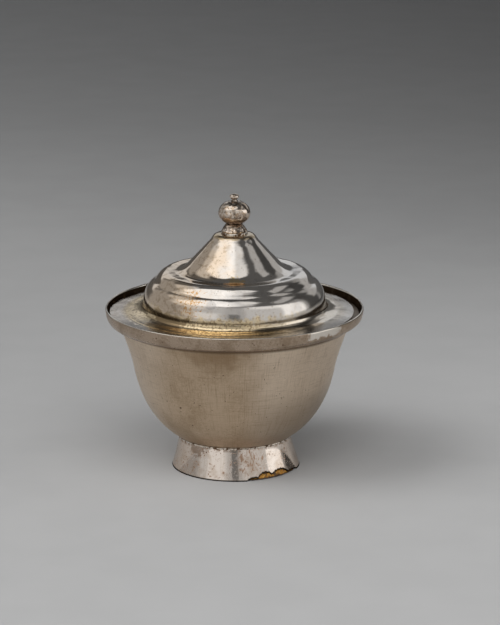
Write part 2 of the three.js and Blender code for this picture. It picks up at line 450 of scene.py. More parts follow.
@dataclass(frozen=True)
class SatinSilver:
    """Brushed silver of the bowl, warm with old tarnish, with fine upright strokes and specks, a painted
    sheen at its sides, and painted shade low on the right, under the band and above the foot.
    """

    clean: Colour = (0.63, 0.488, 0.348)
    dull: Coat = Coat((0.49, 0.365, 0.245))
    pale: Coat = Coat((0.84, 0.705, 0.565), 0.62)
    low_right_shade: Coat = Coat((0.26, 0.20, 0.145))
    brown: Coat = Coat((0.30, 0.195, 0.105))
    dark: Coat = Coat((0.13, 0.085, 0.05))
    upright: Strokes = Strokes(0.30, 9.0, 40.0)
    weave: Strokes = Strokes(0.5, 7.0)
    cloud: Cloud = Cloud(13.0, 5.0, 0.3, 0.7)
    grain: Cloud = Cloud(0.75, 4.0, rough=0.7)
    specks: Cloud = Cloud(0.9, 2.0, 0.70, 0.76, shift=31.0)
    scratches: Dots = Dots(((-21.8, -31.0, 30.6), (-21.2, -30.6, 29.8), (-20.9, -31.4, 31.6)), 0.55, 0.6)
    sheen_right: Span = Span(-1.0, 15.0)
    sheen_left: Span = Span(-21.0, -35.0)
    shade_below: Span = Span(38.0, 24.0, 0.06)
    shade_right: Span = Span(0.0, 20.0, 0.40)
    shade_right_below: Span = Span(45.0, 26.0)
    stain_and_shade: Place = (-6.5, -43.8, 57.2)
    under_band_reach: Span = Span(22.0, 3.0, 0.68)
    under_band_flatness: float = 1.9
    under_band_fray: Cloud = Cloud(4.0, 4.0, reach=16.0)
    band_shadow_line: Span = Span(56.5, 57.7, 0.85)
    foot_joint_shade: Span = Span(13.9, 12.3, 0.7)
    upright_shade: Span = Span(0.50, 0.70, 0.36)
    weave_shade: Span = Span(0.50, 0.70, 0.28)
    graininess: float = 0.45
    mottled: Span = Span(0.40, 0.62)
    heights: Place = (0.009, 0.014, 0.014)
    rough: Pair = (0.34, 0.46)

    def stain_and_shade_under_band(self, paint: Paint) -> Signal:
        """Find the flat brown stain, with painted shade, under the rim band, to the left of the middle.

        Args:
            paint: the material's wiring.

        Returns:
            Share.
        """
        x, y, height = self.stain_and_shade
        squat = paint.joined(paint.x, paint.y, paint.height * self.under_band_flatness)
        away = paint.distance(squat, (x, y, height * self.under_band_flatness))
        return (away + paint.waver(self.under_band_fray)).past(self.under_band_reach)

    def build(self) -> Material:
        """Make the material.

        Returns:
            The finished material.
        """
        paint = Paint("satin_silver", self.clean)
        strokes, weave = paint.strokes(self.upright), paint.rings(self.weave)
        cloud, grain = paint.noise(self.cloud), paint.noise(self.grain)
        paint.lay(self.dull, paint.level(self.graininess, cloud, grain).past(self.mottled))
        # Painted sheen: a paler, less brown tone toward both sides of the bowl.
        paint.lay(self.pale, paint.sides(self.sheen_left, self.sheen_right))
        # Painted shade: faint toward the bottom, stronger low on the right.
        right = paint.height.past(self.shade_right_below) * paint.x.past(self.shade_right)
        paint.lay(self.low_right_shade, paint.height.past(self.shade_below) + right)
        # Brown stain with painted shade below the band's front.
        paint.lay(self.brown, self.stain_and_shade_under_band(paint))
        paint.lay(self.brown, strokes.past(self.upright_shade) + weave.past(self.weave_shade))
        # Painted shadow under the band's lower edge and painted shade just above the foot; the dark coat also
        # takes the real specks and scratches.
        painted_shade = paint.height.past(self.band_shadow_line) | paint.height.past(self.foot_joint_shade)
        paint.lay(self.dark, paint.patches(self.specks) | paint.dots(self.scratches) | painted_shade)
        relief = paint.relief((weave, grain, strokes), self.heights)
        return paint.metal(paint.level(cloud.past(self.cloud.span), *self.rough), relief)


@dataclass(frozen=True)
class BandSilver:
    """Silver of the rim band: rubbed bright with a painted highlight on the rail's edge and a painted
    highlight streak at the front right, black-brown tarnish with painted shade inside the rail, and painted
    shade on its underside.
    """

    clean: Colour = (0.50, 0.39, 0.295)
    dull: Coat = Coat((0.37, 0.275, 0.195))
    dark: Coat = Coat((0.05, 0.034, 0.022))
    dark_edge: Colour = (0.16, 0.11, 0.08)
    brown: Coat = Coat((0.16, 0.10, 0.06))
    rubbed_and_highlight: Coat = Coat((0.95, 0.89, 0.80))
    cloud: Cloud = Cloud(7.0, 4.0, 0.3, 0.7)
    waves: Cloud = Cloud(2.5, 3.0)
    grain: Cloud = Cloud(0.8, 3.0)
    specks: Cloud = Cloud(1.1, 2.0, 0.66, 0.72, shift=12.0)
    bare: Cloud = Cloud(3.0, 3.0, 0.5, 0.7, shift=4.0)
    wear: Cloud = Cloud(4.0, 3.0, 0.30, 0.42, shift=47.0)
    fray: Cloud = Cloud(2.0, 4.0, shift=53.0, reach=6.0)
    under: Span = Span(59.1, 58.5, 0.8)
    inside: Span = Span(50.35, 50.05)
    ledge: Span = Span(61.2, 61.5)
    top: Span = Span(64.16, 64.38)
    painted_streak: Zone = Zone(29.0, 40.5, 1.0)
    painted_streak_low: Span = Span(61.3, 62.1)
    front: Span = Span(0.0, -4.0, 0.8)
    graininess: float = 0.4
    mottled: Span = Span(0.42, 0.62)
    darkness: Pair = (1.0, 0.86)
    heights: Pair = (0.012, 0.05)
    rough: Pair = (0.24, 0.38)
    rough_inside: float = 0.55
    rough_rubbed_and_highlight: float = 0.16

    def painted_highlight_streak(self, paint: Paint) -> Signal:
        """Find the painted highlight streak on the band at the front right.

        Args:
            paint: the material's wiring.

        Returns:
            Share.
        """
        ragged = paint.waver(self.fray)
        along = (paint.x + ragged).within(self.painted_streak)
        return along * (paint.height + ragged).past(self.painted_streak_low) * paint.y.past(self.front)

    def build(self) -> Material:
        """Make the material.

        Returns:
            The finished material.
        """
        paint = Paint("band_silver", self.clean)
        cloud, grain = paint.noise(self.cloud), paint.noise(self.grain)
        paint.lay(self.dull, paint.level(self.graininess, cloud, grain).past(self.mottled))
        # Brown specks, and painted shade on the band's underside.
        paint.lay(self.brown, paint.patches(self.specks) | paint.height.past(self.under))
        # Black-brown tarnish with painted shade inside the rail, in the gap round the cover.
        patchy = paint.level(paint.patches(self.bare), *self.darkness)
        dark = paint.radius.past(self.inside) * paint.height.past(self.ledge) * patchy
        paint.lay(self.dark, dark)
        # Painted highlight: the rail's top edge, also worn bright, and a streak at the front right.
        rubbed_and_highlight = paint.height.past(self.top) * paint.patches(self.wear) | self.painted_highlight_streak(paint)
        paint.lay(self.rubbed_and_highlight, rubbed_and_highlight)
        relief = paint.relief((grain, paint.noise(self.waves)), self.heights)
        plain = paint.level(cloud.past(self.cloud.span), *self.rough)
        rough = paint.level(rubbed_and_highlight, paint.level(dark, plain, self.rough_inside), self.rough_rubbed_and_highlight)
        return paint.metal(rough, relief, paint.colour(dark, WHITE, self.dark_edge))


@dataclass(frozen=True)
class FootSilver:
    """Polished silver of the foot, streaked upright, with brown specks and stains, and a painted shadow along
    its lower edge and the break's edge.
    """

    clean: Colour = (0.93, 0.825, 0.735)
    dull: Coat = Coat((0.76, 0.64, 0.54))
    film: Coat = Coat((0.62, 0.45, 0.32), 0.4)
    rust: Coat = Coat((0.50, 0.285, 0.165), 0.8)
    brown: Coat = Coat((0.26, 0.145, 0.075))
    painted_shadow: Coat = Coat((0.03, 0.022, 0.016))
    black_edge: Colour = (0.2, 0.14, 0.1)
    streaks: Strokes = Strokes(0.8, 14.0, 24.0)
    rows: Strokes = Strokes(1.2, 3.5, 24.0)
    cloud: Cloud = Cloud(4.0, 4.0, 0.4, 0.8)
    waves: Cloud = Cloud(5.0, 1.0)
    freckles: Cloud = Cloud(0.7, 4.0, 0.56, 0.66, shift=5.0)
    drifts: Cloud = Cloud(5.0, 2.0, 0.42, 0.56, shift=60.0)
    grime: Cloud = Cloud(1.8, 3.0, 0.46, 0.56)
    specks: Dots = Dots((
        (-11.7, -19.5, 10.6), (-16.9, -17.0, 5.0), (-20.0, -12.2, 6.9), (-13.2, -19.6, 6.8),
        (12.3, -21.2, 4.2), (-11.0, -19.7, 10.3), (-17.1, -16.6, 5.6), (18.6, -13.4, 11.2),
        (20.4, -10.4, 10.9), (19.6, -11.6, 9.6),
    ), 0.32)
    rusty: Dots = Dots((
        (4.4, -22.6, 9.9), (6.6, -22.2, 9.7), (7.0, -22.2, 8.4), (4.6, -23.0, 7.4), (9.4, -21.4, 8.2),
        (5.2, -22.8, 8.6), (9.6, -21.8, 5.8), (8.4, -21.6, 9.9), (2.4, -23.9, 4.4), (-4.2, -23.9, 3.2),
        (-9.6, -21.8, 6.2), (-12.0, -20.6, 8.0), (-14.2, -19.0, 5.2), (-8.6, -21.8, 9.2),
    ), 0.55, 0.9, 0.85)
    stain_and_shade: Spot = Spot((-14.5, -16.9, 11.4), 3.4, 0.7, 1.2, 0.6)
    rusty_spot: Spot = Spot((6.0, -23.0, 7.6), 5.6, 0.4, 2.0)
    left: Span = Span(-12.0, -21.0)
    right: Span = Span(15.0, 22.0)
    upper: Span = Span(10.6, 12.0, 0.75)
    lowest: Span = Span(0.62, 0.36)
    clouded: Span = Span(0.44, 0.68)
    painted_dark_reflection: Span = Span(0.5, 0.72, 0.5)
    rowed: Span = Span(0.52, 0.62)
    heights: Place = (0.01, 0.005, 0.025)
    rough: Pair = (0.05, 0.14)
    rough_stained: float = 0.42

    def build(self) -> Material:
        """Make the material.

        Returns:
            The finished material.
        """
        paint = Paint("foot_silver", self.clean)
        streaks, cloud = paint.strokes(self.streaks), paint.noise(self.cloud)
        paint.lay(self.dull, cloud.past(self.clouded))
        paint.lay(self.dull, streaks.past(self.painted_dark_reflection))
        paint.lay(self.film, paint.sides(self.left, self.right))
        freckles = paint.patches(self.freckles)
        rows = paint.strokes(self.rows).past(self.rowed) * paint.spot(self.rusty_spot)
        rusty = freckles * paint.patches(self.drifts) | rows | paint.dots(self.rusty)
        paint.lay(self.rust, rusty)
        upper = paint.height.past(self.upper) * paint.patches(self.grime)
        brown = paint.dots(self.specks) | upper | paint.spot(self.stain_and_shade)
        paint.lay(self.brown, brown)
        # Painted shadow: the contact shadow along the lowest edge, and shadow along the break.
        painted_shadow = paint.height.past(self.lowest) | paint.attribute("break_shadow")
        paint.lay(self.painted_shadow, painted_shadow)
        relief = paint.relief((freckles, streaks, paint.noise(self.waves)), self.heights)
        plain = paint.level(cloud.past(self.cloud.span), *self.rough)
        rough = paint.level(brown | rusty | painted_shadow, plain, self.rough_stained)
        return paint.metal(rough, relief, paint.colour(painted_shadow, WHITE, self.black_edge))


@dataclass(frozen=True)
class BrightSilver:
    """Mirror-like silver of the cover, with a warm film at the left, golden tarnish in the hollows, and a
    painted dark reflection of the rail round the front of the brim.
    """

    clean: Colour = (0.88, 0.825, 0.765)
    veil: Coat = Coat((0.62, 0.585, 0.555), 0.7)
    smudge: Coat = Coat((0.62, 0.585, 0.555), 0.6)
    warm: Coat = Coat((0.90, 0.73, 0.56))
    bronze: Coat = Coat((0.46, 0.33, 0.20))
    gold: Coat = Coat((0.97, 0.78, 0.50))
    brown: Coat = Coat((0.27, 0.17, 0.08))
    rust: Coat = Coat((0.66, 0.36, 0.12), 0.85)
    crown: Coat = Coat((0.50, 0.37, 0.20), 0.75)
    painted_streak: Coat = Coat((0.13, 0.105, 0.08))
    cloud: Cloud = Cloud(9.0, 4.0, 0.4, 0.8)
    fine: Cloud = Cloud(0.5)
    mottle: Cloud = Cloud(2.4, 6.0, 0.50, 0.64, shift=33.0, rough=0.68)
    flecks: Cloud = Cloud(0.9, 4.0, 0.50, 0.60, shift=22.0, weight=0.6)
    crumbs: Cloud = Cloud(0.8, 4.0, 0.52, 0.58, shift=62.0)
    pits: Cloud = Cloud(0.7, 2.0, 0.67, 0.73, shift=71.0, weight=0.7)
    film_fray: Cloud = Cloud(5.0, 5.0, shift=2.0, reach=22.0)
    tarnish_fray: Cloud = Cloud(2.2, 5.0, shift=9.0, reach=10.0)
    rail_fray: Cloud = Cloud(2.4, 4.0, shift=27.0, reach=7.0)
    waves: Cloud = Cloud(3.0, 2.0, shift=3.0)
    feathers: Cloud = Cloud(1.4, 5.0, shift=40.0, rough=0.75)
    lines: Strokes = Strokes(2.6, 60.0)
    turned: Strokes = Strokes(0.9, 30.0, layers=2.0)
    veiled: Span = Span(0.50, 0.74)
    film_edges: Pair = (-14.0, -3.0)
    film_edge: Span = Span(-5.0, 6.0)
    film_shares: Pair = (0.95, 0.35)
    bronze_shares: Pair = (0.12, 0.62)
    tarnish_shares: Pair = (0.25, 1.0)
    wave_shares: Pair = (0.35, 1.0)
    lined: Span = Span(0.47, 0.54, 0.8)
    crown_fray: float = 0.15
    heights: tuple[float, ...] = (0.0012, 0.075, 0.012, 0.030)
    cone: Span = Span(78.5, 80.5)
    tiers: Span = Span(38.0, 41.0)
    upright: tuple[Span, Span] = (Span(78.0, 72.0), Span(63.4, 64.4))
    wavy_above: Span = Span(78.0, 81.0)
    tarnish: Zone = Zone(61.0, 68.0, 1.6)
    tarnish_ring: Zone = Zone(33.0, 43.5, 1.6)
    tarnish_right: Span = Span(30.0, 4.0)
    crown_height: Span = Span(92.5, 93.2)
    brim: Span = Span(40.0, 42.0)
    brim_front: Span = Span(-8.0, -24.0)
    brim_height: Span = Span(64.6, 63.8)
    by_rail: Span = Span(42.6, 44.2, 0.85)
    cone_foot: Spot = Spot((0.5, -22.0, 79.2), 3.0, 0.8, 1.0)
    orange: Spot = Spot((-17.3, -28.7, 73.6), 5.2, 0.9, 1.6)
    smudged: Spot = Spot((-8.7, -32.6, 73.0), 1.9, 0.3, 2.0)
    dark_gold: Spot = Spot((-26.0, -25.5, 66.0), 8.0, 0.6, 2.0, 0.75)
    rough: Pair = (0.05, 0.10)
    rough_upright: float = 0.13
    rough_smudge: float = 0.8
    rough_tarnished: float = 0.19

    def film(self, paint: Paint) -> Signal:
        """Find where the warm film lies.

        Args:
            paint: the material's wiring.

        Returns:
            Share.
        """
        edge = paint.level(paint.height.past(self.cone), *self.film_edges)
        inside = edge - paint.x + paint.waver(self.film_fray)
        return inside.past(self.film_edge) * paint.level(paint.radius.past(self.tiers), *self.film_shares)

    def hollow(self, paint: Paint, waver: Signal) -> Signal:
        """Find the golden tarnish in the hollow round the lower tier.

        Args:
            paint: the material's wiring.
            waver: how far its upper and lower edges stray.

        Returns:
            Share.
        """
        low = (paint.height + waver).within(self.tarnish)
        leftward = paint.level(paint.x.past(self.tarnish_right), *self.tarnish_shares)
        return low * paint.radius.within(self.tarnish_ring) * leftward

    def painted_dark_reflection(self, paint: Paint) -> Signal:
        """Find the painted reflection of the rail's dark inside: dark streaks round the front of the brim,
        darker toward the rail.

        Args:
            paint: the material's wiring.

        Returns:
            Share.
        """
        lines = paint.rings(self.lines).past(self.lined)
        by_rail = (paint.radius + paint.waver(self.rail_fray)).past(self.by_rail)
        return (lines | by_rail) * paint.y.past(self.brim_front) * paint.height.past(self.brim_height)

    def relief(self, paint: Paint) -> Socket:
        """Make the small relief: waves, finer on the brim, with the lathe's rings on it.

        Args:
            paint: the material's wiring.

        Returns:
            Normal socket.
        """
        onto_brim = paint.radius.past(self.brim)
        lift = paint.level(paint.height.past(self.wavy_above), *self.wave_shares)
        patterns = (
            paint.noise(self.fine), paint.noise(self.feathers) * onto_brim,
            paint.rings(self.turned) * onto_brim, paint.noise(self.waves) * lift,
        )
        return paint.relief(patterns, self.heights)

    def build(self) -> Material:
        """Make the material.

        Returns:
            The finished material.
        """
        paint = Paint("bright_silver", self.clean)
        cloud = paint.noise(self.cloud)
        paint.lay(self.veil, cloud.past(self.veiled))
        film = self.film(paint)
        paint.lay(self.warm, film)
        paint.lay(self.bronze, paint.patches(self.mottle) * paint.level(film, *self.bronze_shares))
        waver = paint.waver(self.tarnish_fray)
        hollow = self.hollow(paint, waver)
        paint.lay(self.gold, hollow)
        paint.lay(self.brown, hollow * (paint.patches(self.flecks) | paint.spot(self.dark_gold)))
        paint.lay(self.gold, paint.spot(self.cone_foot))
        paint.lay(self.rust, paint.spot(self.orange) * paint.patches(self.crumbs))
        paint.lay(self.crown, (paint.height + waver * self.crown_fray).past(self.crown_height))
        smudge = paint.spot(self.smudged)
        paint.lay(self.smudge, smudge)
        paint.lay(self.brown, paint.patches(self.pits))
        # Painted reflection of the rail's dark inside on the brim's front.
        paint.lay(self.painted_streak, self.painted_dark_reflection(paint))
        low, high = (paint.height.past(span) for span in self.upright)
        plain = paint.level(cloud.past(self.cloud.span), *self.rough)
        worn = paint.level(low * high, plain, self.rough_upright)
        rough = paint.level(hollow | smudge * self.rough_smudge, worn, self.rough_tarnished)
        return paint.metal(rough, self.relief(paint))


@dataclass(frozen=True)
class CastSilver:
    """Silver of the finial, dented, brown underneath and in the joints."""

    clean: Colour = (0.88, 0.765, 0.655)
    warm: Coat = Coat((0.64, 0.49, 0.36))
    brown: Coat = Coat((0.26, 0.155, 0.085), 0.8)
    dark: Coat = Coat((0.08, 0.05, 0.03), 0.85)
    cloud: Cloud = Cloud(2.2, 4.0, reach=8.0)
    film: Cloud = Cloud(1.4, 3.0, 0.45, 0.62, shift=6.0)
    flecks: Cloud = Cloud(0.6, 3.0, 0.56, 0.64, shift=14.0, weight=0.7)
    grime: Cloud = Cloud(1.1, 4.0, 0.47, 0.57, shift=19.0)
    dents: Dots = Dots(((0.1, -6.0, 101.7), (2.2, -5.7, 101.4)), 0.35)
    ball_under: Zone = Zone(97.3, 101.65, 1.4)
    seam: Zone = Zone(93.4, 94.4, 0.3)
    neck: Zone = Zone(106.0, 107.0, 0.3)
    ball_foot: Span = Span(98.6, 97.4, 0.8)
    hammered: Cloud = Cloud(1.6)
    fine: Cloud = Cloud(0.5)
    heights: Pair = (0.01, 0.08)
    rough: Pair = (0.07, 0.28)

    def build(self) -> Material:
        """Make the material.

        Returns:
            The finished material.
        """
        paint = Paint("finial_silver", self.clean)
        wavy = paint.height + paint.waver(self.cloud)
        paint.lay(self.warm, paint.patches(self.film))
        under = wavy.within(self.ball_under)
        paint.lay(self.brown, under)
        low = paint.height.past(self.ball_foot) * paint.patches(self.grime)
        joints = wavy.within(self.seam) | wavy.within(self.neck) | low
        joints = joints | paint.patches(self.flecks) | paint.dots(self.dents)
        paint.lay(self.dark, joints)
        relief = paint.relief((paint.noise(self.fine), paint.noise(self.hammered)), self.heights)
        return paint.metal(paint.level(under | joints, *self.rough), relief)


@dataclass(frozen=True)
class Solder:
    """Lumpy solder in the joints, bright on its crests and brown in its hollows."""

    bright: Colour = (0.84, 0.76, 0.66)
    brown: Coat = Coat((0.17, 0.10, 0.055))
    lumps: Cloud = Cloud(1.3, 3.0, 0.48, 0.62)
    fine: Cloud = Cloud(0.6, 3.0)
    height: float = 0.08
    rough: Pair = (0.24, 0.5)

    def build(self) -> Material:
        """Make the material.

        Returns:
            The finished material.
        """
        paint = Paint("solder", self.bright)
        lumps = paint.patches(self.lumps)
        paint.lay(self.brown, lumps)
        relief = paint.relief([paint.noise(self.fine)], [self.height])
        return paint.metal(paint.level(lumps, *self.rough), relief)


@dataclass(frozen=True)
class AmberWax:
    """Amber-brown wax, lumpy and half clear, with painted shadow along the break's edge and at its foot."""

    amber: Colour = (0.42, 0.19, 0.025)
    deep: Coat = Coat((0.10, 0.045, 0.012))
    pale: Coat = Coat((0.62, 0.36, 0.07), 0.7)
    painted_shade: Coat = Coat((0.02, 0.012, 0.006), 0.93)
    lumps: Cloud = Cloud(2.0, 4.0, 0.46, 0.62)
    fine: Cloud = Cloud(0.5, 3.0)
    light: Cloud = Cloud(1.1, 3.0, 0.54, 0.66, shift=8.0)
    floor: Span = Span(0.9, 0.4)
    heights: Pair = (0.05, 0.25)
    rough: Pair = (0.5, 0.32)
    cloudiness: float = 0.1
    cloud_depth: float = 2.0

    def build(self) -> Material:
        """Make the material.

        Returns:
            The finished material.
        """
        paint = Paint("amber_wax", self.amber)
        lumps, light = paint.noise(self.lumps), paint.patches(self.light)
        paint.lay(self.deep, lumps.past(self.lumps.span))
        paint.lay(self.pale, light)
        # Painted shadow along the break's edge and near the floor.
        paint.lay(self.painted_shade, paint.attribute("break_shadow") | paint.height.past(self.floor))
        relief = paint.relief((paint.noise(self.fine), lumps), self.heights)
        return paint.surface(
            paint.level(light, *self.rough), Normal=relief, Subsurface_Weight=self.cloudiness,
            Subsurface_Scale=self.cloud_depth * MM,
        )


class Finishes:
    """Every material, made once."""

    def __init__(self) -> None:
        """Make the materials."""
        self.satin = SatinSilver().build()
        self.band = BandSilver().build()
        self.foot = FootSilver().build()
        self.bright = BrightSilver().build()
        self.cast = CastSilver().build()
        self.solder = Solder().build()
        self.wax = AmberWax().build()


class Outline:
    """A line of points of radius and height, drawn with straights and curves."""

    def __init__(self, radius: float, height: float, step: float) -> None:
        """Start the line at a point, with a step between its points."""
        self.points = [np.array((radius, height), float)]
        self.step = step

    def bend(self, *handles: Pair) -> "Outline":
        """Draw on with a Bezier curve.

        Args:
            handles: its control points after the present one; one alone draws a straight.

        Returns:
            The outline.
        """
        corners = [self.points[-1], *(np.array(handle, float) for handle in handles)]
        run = sum(float(np.linalg.norm(b - a)) for a, b in zip(corners, corners[1:]))
        for share in np.linspace(0, 1, max(2, round(run / self.step)) + 1)[1:]:
            level = corners
            while len(level) > 1:
                level = [a + share * (b - a) for a, b in zip(level, level[1:])]
            self.points.append(level[0])
        return self

    def arc(self, centre: Pair, radii: Pair, start: float, end: float) -> "Outline":
        """Draw on along an ellipse.

        Args:
            centre: its middle.
            radii: its two radii.
            start: angle at which the arc starts, in radians from the outward direction.
            end: angle at which it ends.

        Returns:
            The outline.
        """
        count = max(4, round(abs(end - start) * max(radii) / self.step))
        for angle in np.linspace(start, end, count + 1):
            point = np.array(centre) + np.array(radii) * (math.cos(angle), math.sin(angle))
            if np.linalg.norm(point - self.points[-1]) > WELD:
                self.points.append(point)
        return self

    def moved(self, distance: float) -> Line:
        """Move the line sideways, to the left of its direction.

        Args:
            distance: how far.

        Returns:
            The moved points.
        """
        points = np.array(self.points)
        ways = np.diff(points, axis=0)
        left = np.stack([-ways[:, 1], ways[:, 0]], 1) / np.linalg.norm(ways, axis=1)[:, None]
        first = np.concatenate([left[:1], left])
        mitre = first + np.concatenate([left, left[-1:]])
        mitre /= np.linalg.norm(mitre, axis=1)[:, None]
        out = points + distance * mitre / np.sum(mitre * first, axis=1)[:, None]
        out[:, 0] = np.where(points[:, 0] == 0, 0, out[:, 0])
        return list(out)

    def sheet(self, wall: float) -> Line:
        """Give the line a wall on its left, and close it unless it starts on the axis."""
        closed = [*self.points, *reversed(self.moved(wall))]
        return closed if self.points[0][0] == 0 else [*closed, closed[0]]


def bead(centre: Pair, radii: Pair) -> Line:
    """Draw the closed section of a round bead."""
    line = Outline(centre[0] + radii[0], centre[1], BEAD_STEP).arc(centre, radii, 0.0, math.tau)
    return [*line.points, line.points[0]]


def placed(name: str, data: bpy.types.ID) -> Piece:
    """Make an object and put it into the scene.

    Args:
        name: its name.
        data: what it shows.

    Returns:
        The object.
    """
    made = bpy.data.objects.new(name, data)
    bpy.context.scene.collection.objects.link(made)
    return made


def finished_piece(name: str, mesh: Mesh) -> Piece:
    """Put a closed mesh into the scene, its faces pointing out and its edges sharp where they bend.

    Args:
        name: the piece's name.
        mesh: its mesh, in metres, in place.

    Returns:
        The piece.
    """
    mesh.name = name
    work = bmesh.new()
    work.from_mesh(mesh)
    bmesh.ops.dissolve_degenerate(work, dist=WELD * MM / 10, edges=work.edges)
    if work.calc_volume(signed=True) < 0:
        bmesh.ops.reverse_faces(work, faces=work.faces)
    work.to_mesh(mesh)
    work.free()
    mesh.shade_smooth()
    mesh.set_sharp_from_angle(angle=SHARP_ANGLE)
    return placed(name, mesh)


class Lathe:
    """Turns profiles round the Z axis with one tree of Geometry Nodes."""

    SOCKETS = (
        ("Facets", "NodeSocketInt"), ("Dent Depth", "NodeSocketFloat"), ("Dent Size", "NodeSocketFloat"),
        ("Seed", "NodeSocketInt"), ("Finish", "NodeSocketMaterial"),
    )

    def __init__(self) -> None:
        """Build the tree once."""
        self.tree = bpy.data.node_groups.new("turned_on_the_axis", "GeometryNodeTree")
        self.tree.is_modifier = True
        face = self.tree.interface
        face.new_socket("Geometry", in_out="INPUT", socket_type="NodeSocketGeometry")
        self.keys = {
            name: face.new_socket(name, in_out="INPUT", socket_type=kind).identifier
            for name, kind in self.SOCKETS
        }
        face.new_socket("Geometry", in_out="OUTPUT", socket_type="NodeSocketGeometry")
        self._wire(Wiring(self.tree))

    def _wire(self, wiring: Wiring) -> None:
        """Join the nodes: a grid of profile points by facets, rolled round the axis and dented.

        Args:
            wiring: the tree's wiring.
        """
        given = wiring.add("NodeGroupInput").outputs
        size = wiring.add("GeometryNodeAttributeDomainSize", {"Geometry": given["Geometry"]}).outputs
        last = Signal(wiring, size["Point Count"]) - 1
        grid = wiring.add("GeometryNodeMeshGrid", {
            "Size X": last, "Size Y": math.tau, "Vertices X": size["Point Count"],
            "Vertices Y": Signal(wiring, given["Facets"]) + 1,
        })
        here = wiring.add("GeometryNodeInputPosition").outputs[0]
        across, along, _ = wiring.parts(here)
        number = wiring.signal("FunctionNodeFloatToInt", {0: across + last * 0.5}, rounding_mode="ROUND")
        source = wiring.add("GeometryNodeSampleIndex", {
            "Geometry": given["Geometry"], "Value": here, "Index": number,
        }, data_type="FLOAT_VECTOR", domain="POINT")
        radius, _, height = wiring.parts(source.outputs[0])
        x, y = (radius * wiring.math(side, along + math.pi) for side in ("COSINE", "SINE"))
        rolled = wiring.joined(x, y, height)
        made = wiring.add("GeometryNodeSetPosition", {"Geometry": grid.outputs["Mesh"], "Position": rolled})
        for kind, inputs in (
            ("GeometryNodeMergeByDistance", {"Distance": WELD * MM}),
            ("GeometryNodeSetPosition", {"Offset": self._dents(wiring, given, here)}),
            ("GeometryNodeSetShadeSmooth", {}),
            ("GeometryNodeRealizeInstances", {}),
            ("GeometryNodeSetMaterial", {"Material": given["Finish"]}),
        ):
            made = wiring.add(kind, {"Geometry": made.outputs[0], **inputs})
        wiring.add("NodeGroupOutput", {0: made.outputs[0]})

    def _dents(self, wiring: Wiring, given: Outputs, here: Socket) -> Socket:
        """Make the offset that dents a turned piece.

        Args:
            wiring: the tree's wiring.
            given: the tree's inputs.
            here: position socket.

        Returns:
            Offset socket.
        """
        cloud = wiring.add("ShaderNodeTexNoise", {
            "Vector": here, "W": given["Seed"], "Detail": 1.0,
            "Scale": wiring.math("DIVIDE", 1.0, given["Dent Size"]),
        }, noise_dimensions="4D")
        even = wiring.vector("SUBTRACT", cloud.outputs["Color"], (0.5, 0.5, 0.5))
        return wiring.scaled(even, given["Dent Depth"])

    def turn(self, name: str, profile: Line, facets: int, finish: Material,
             dents: Dents) -> Piece:
        """Turn one piece.

        Args:
            name: the piece's name.
            profile: points of radius and height in millimetres, closed or from axis to axis.
            facets: how many flats go round.
            finish: its material.
            dents: the dents in it.

        Returns:
            The piece, with a plain closed mesh.
        """
        mesh = bpy.data.meshes.new(name + "_profile")
        mesh.from_pydata([(r * MM, 0.0, h * MM) for r, h in profile], [], [])
        blank = placed(name + "_profile", mesh)
        modifier = blank.modifiers.new("turning", "NODES")
        modifier.node_group = self.tree
        values = {
            "Facets": facets, "Dent Depth": dents.depth * MM, "Dent Size": dents.size * MM,
            "Seed": dents.seed, "Finish": finish,
        }
        for key, value in values.items():
            modifier[self.keys[key]] = value
        graph = bpy.context.evaluated_depsgraph_get()
        made = bpy.data.meshes.new_from_object(blank.evaluated_get(graph), depsgraph=graph)
        bpy.data.objects.remove(blank)
        bpy.data.meshes.remove(mesh)
        return finished_piece(name, made)


def looped_mesh(name: str, loops: Array, finish: Material, ends: Ends) -> Mesh:
    """Make a mesh of loops of points.

    Args:
        name: the mesh's name.
        loops: array of loops by points by three, in millimetres, each loop closed.
        finish: its material.
        ends: what it does at its ends.

    Returns:
        The mesh, in metres.
    """
    count, width = loops.shape[:2]
    faces = [
        (i * width + j, i * width + (j + 1) % width, (i + 1) % count * width + (j + 1) % width,
         (i + 1) % count * width + j)
        for i in range(count if ends is Ends.JOINED else count - 1) for j in range(width)
    ]
    if ends is Ends.CAPPED:
        faces += [tuple(reversed(range(width))), tuple(range((count - 1) * width, count * width))]
    mesh = bpy.data.meshes.new(name)
    mesh.from_pydata((loops.reshape(-1, 3) * MM).tolist(), [], faces)
    mesh.materials.append(finish)
    return mesh


def carry(mesh: Mesh, name: str, values: Array) -> None:
    """Give each point of a mesh a number that its material reads."""
    layer = mesh.attributes.new(name, "FLOAT", "POINT")
    layer.data.foreach_set("value", np.asarray(values, np.float32).ravel())


def move_points(piece: Piece, move: Callable[[Array], Array]) -> None:
    """Move a piece's points by a rule.

    Args:
        piece: the piece.
        move: takes the points in millimetres and gives them back moved.
    """
    mesh = piece.data
    flat = np.zeros(len(mesh.vertices) * 3)
    mesh.vertices.foreach_get("co", flat)
    moved = move(flat.reshape(-1, 3) / MM) * MM
    mesh.vertices.foreach_set("co", moved.ravel())
    mesh.update()


def ease(values: Array, span: Pair) -> Array:
    """Go smoothly from 0 to 1 over a span of values."""
    share = np.clip((values - span[0]) / (span[1] - span[0]), 0, 1)
    return share * share * (3 - 2 * share)


def waves(values: Array, terms: Sequence[Place]) -> Array:
    """Add up sine waves, each given by its depth, its rate and its start."""
    return sum(depth * np.sin(values * rate + start) for depth, rate, start in terms)


def rolled(radius: Array, height: Array, angles: Array) -> Array:
    """Place rows of radius and height round the axis, one at each angle."""
    x, y = radius * np.cos(angles)[:, None], radius * np.sin(angles)[:, None]
    return np.stack([x, y, np.broadcast_to(height, radius.shape)], axis=2)


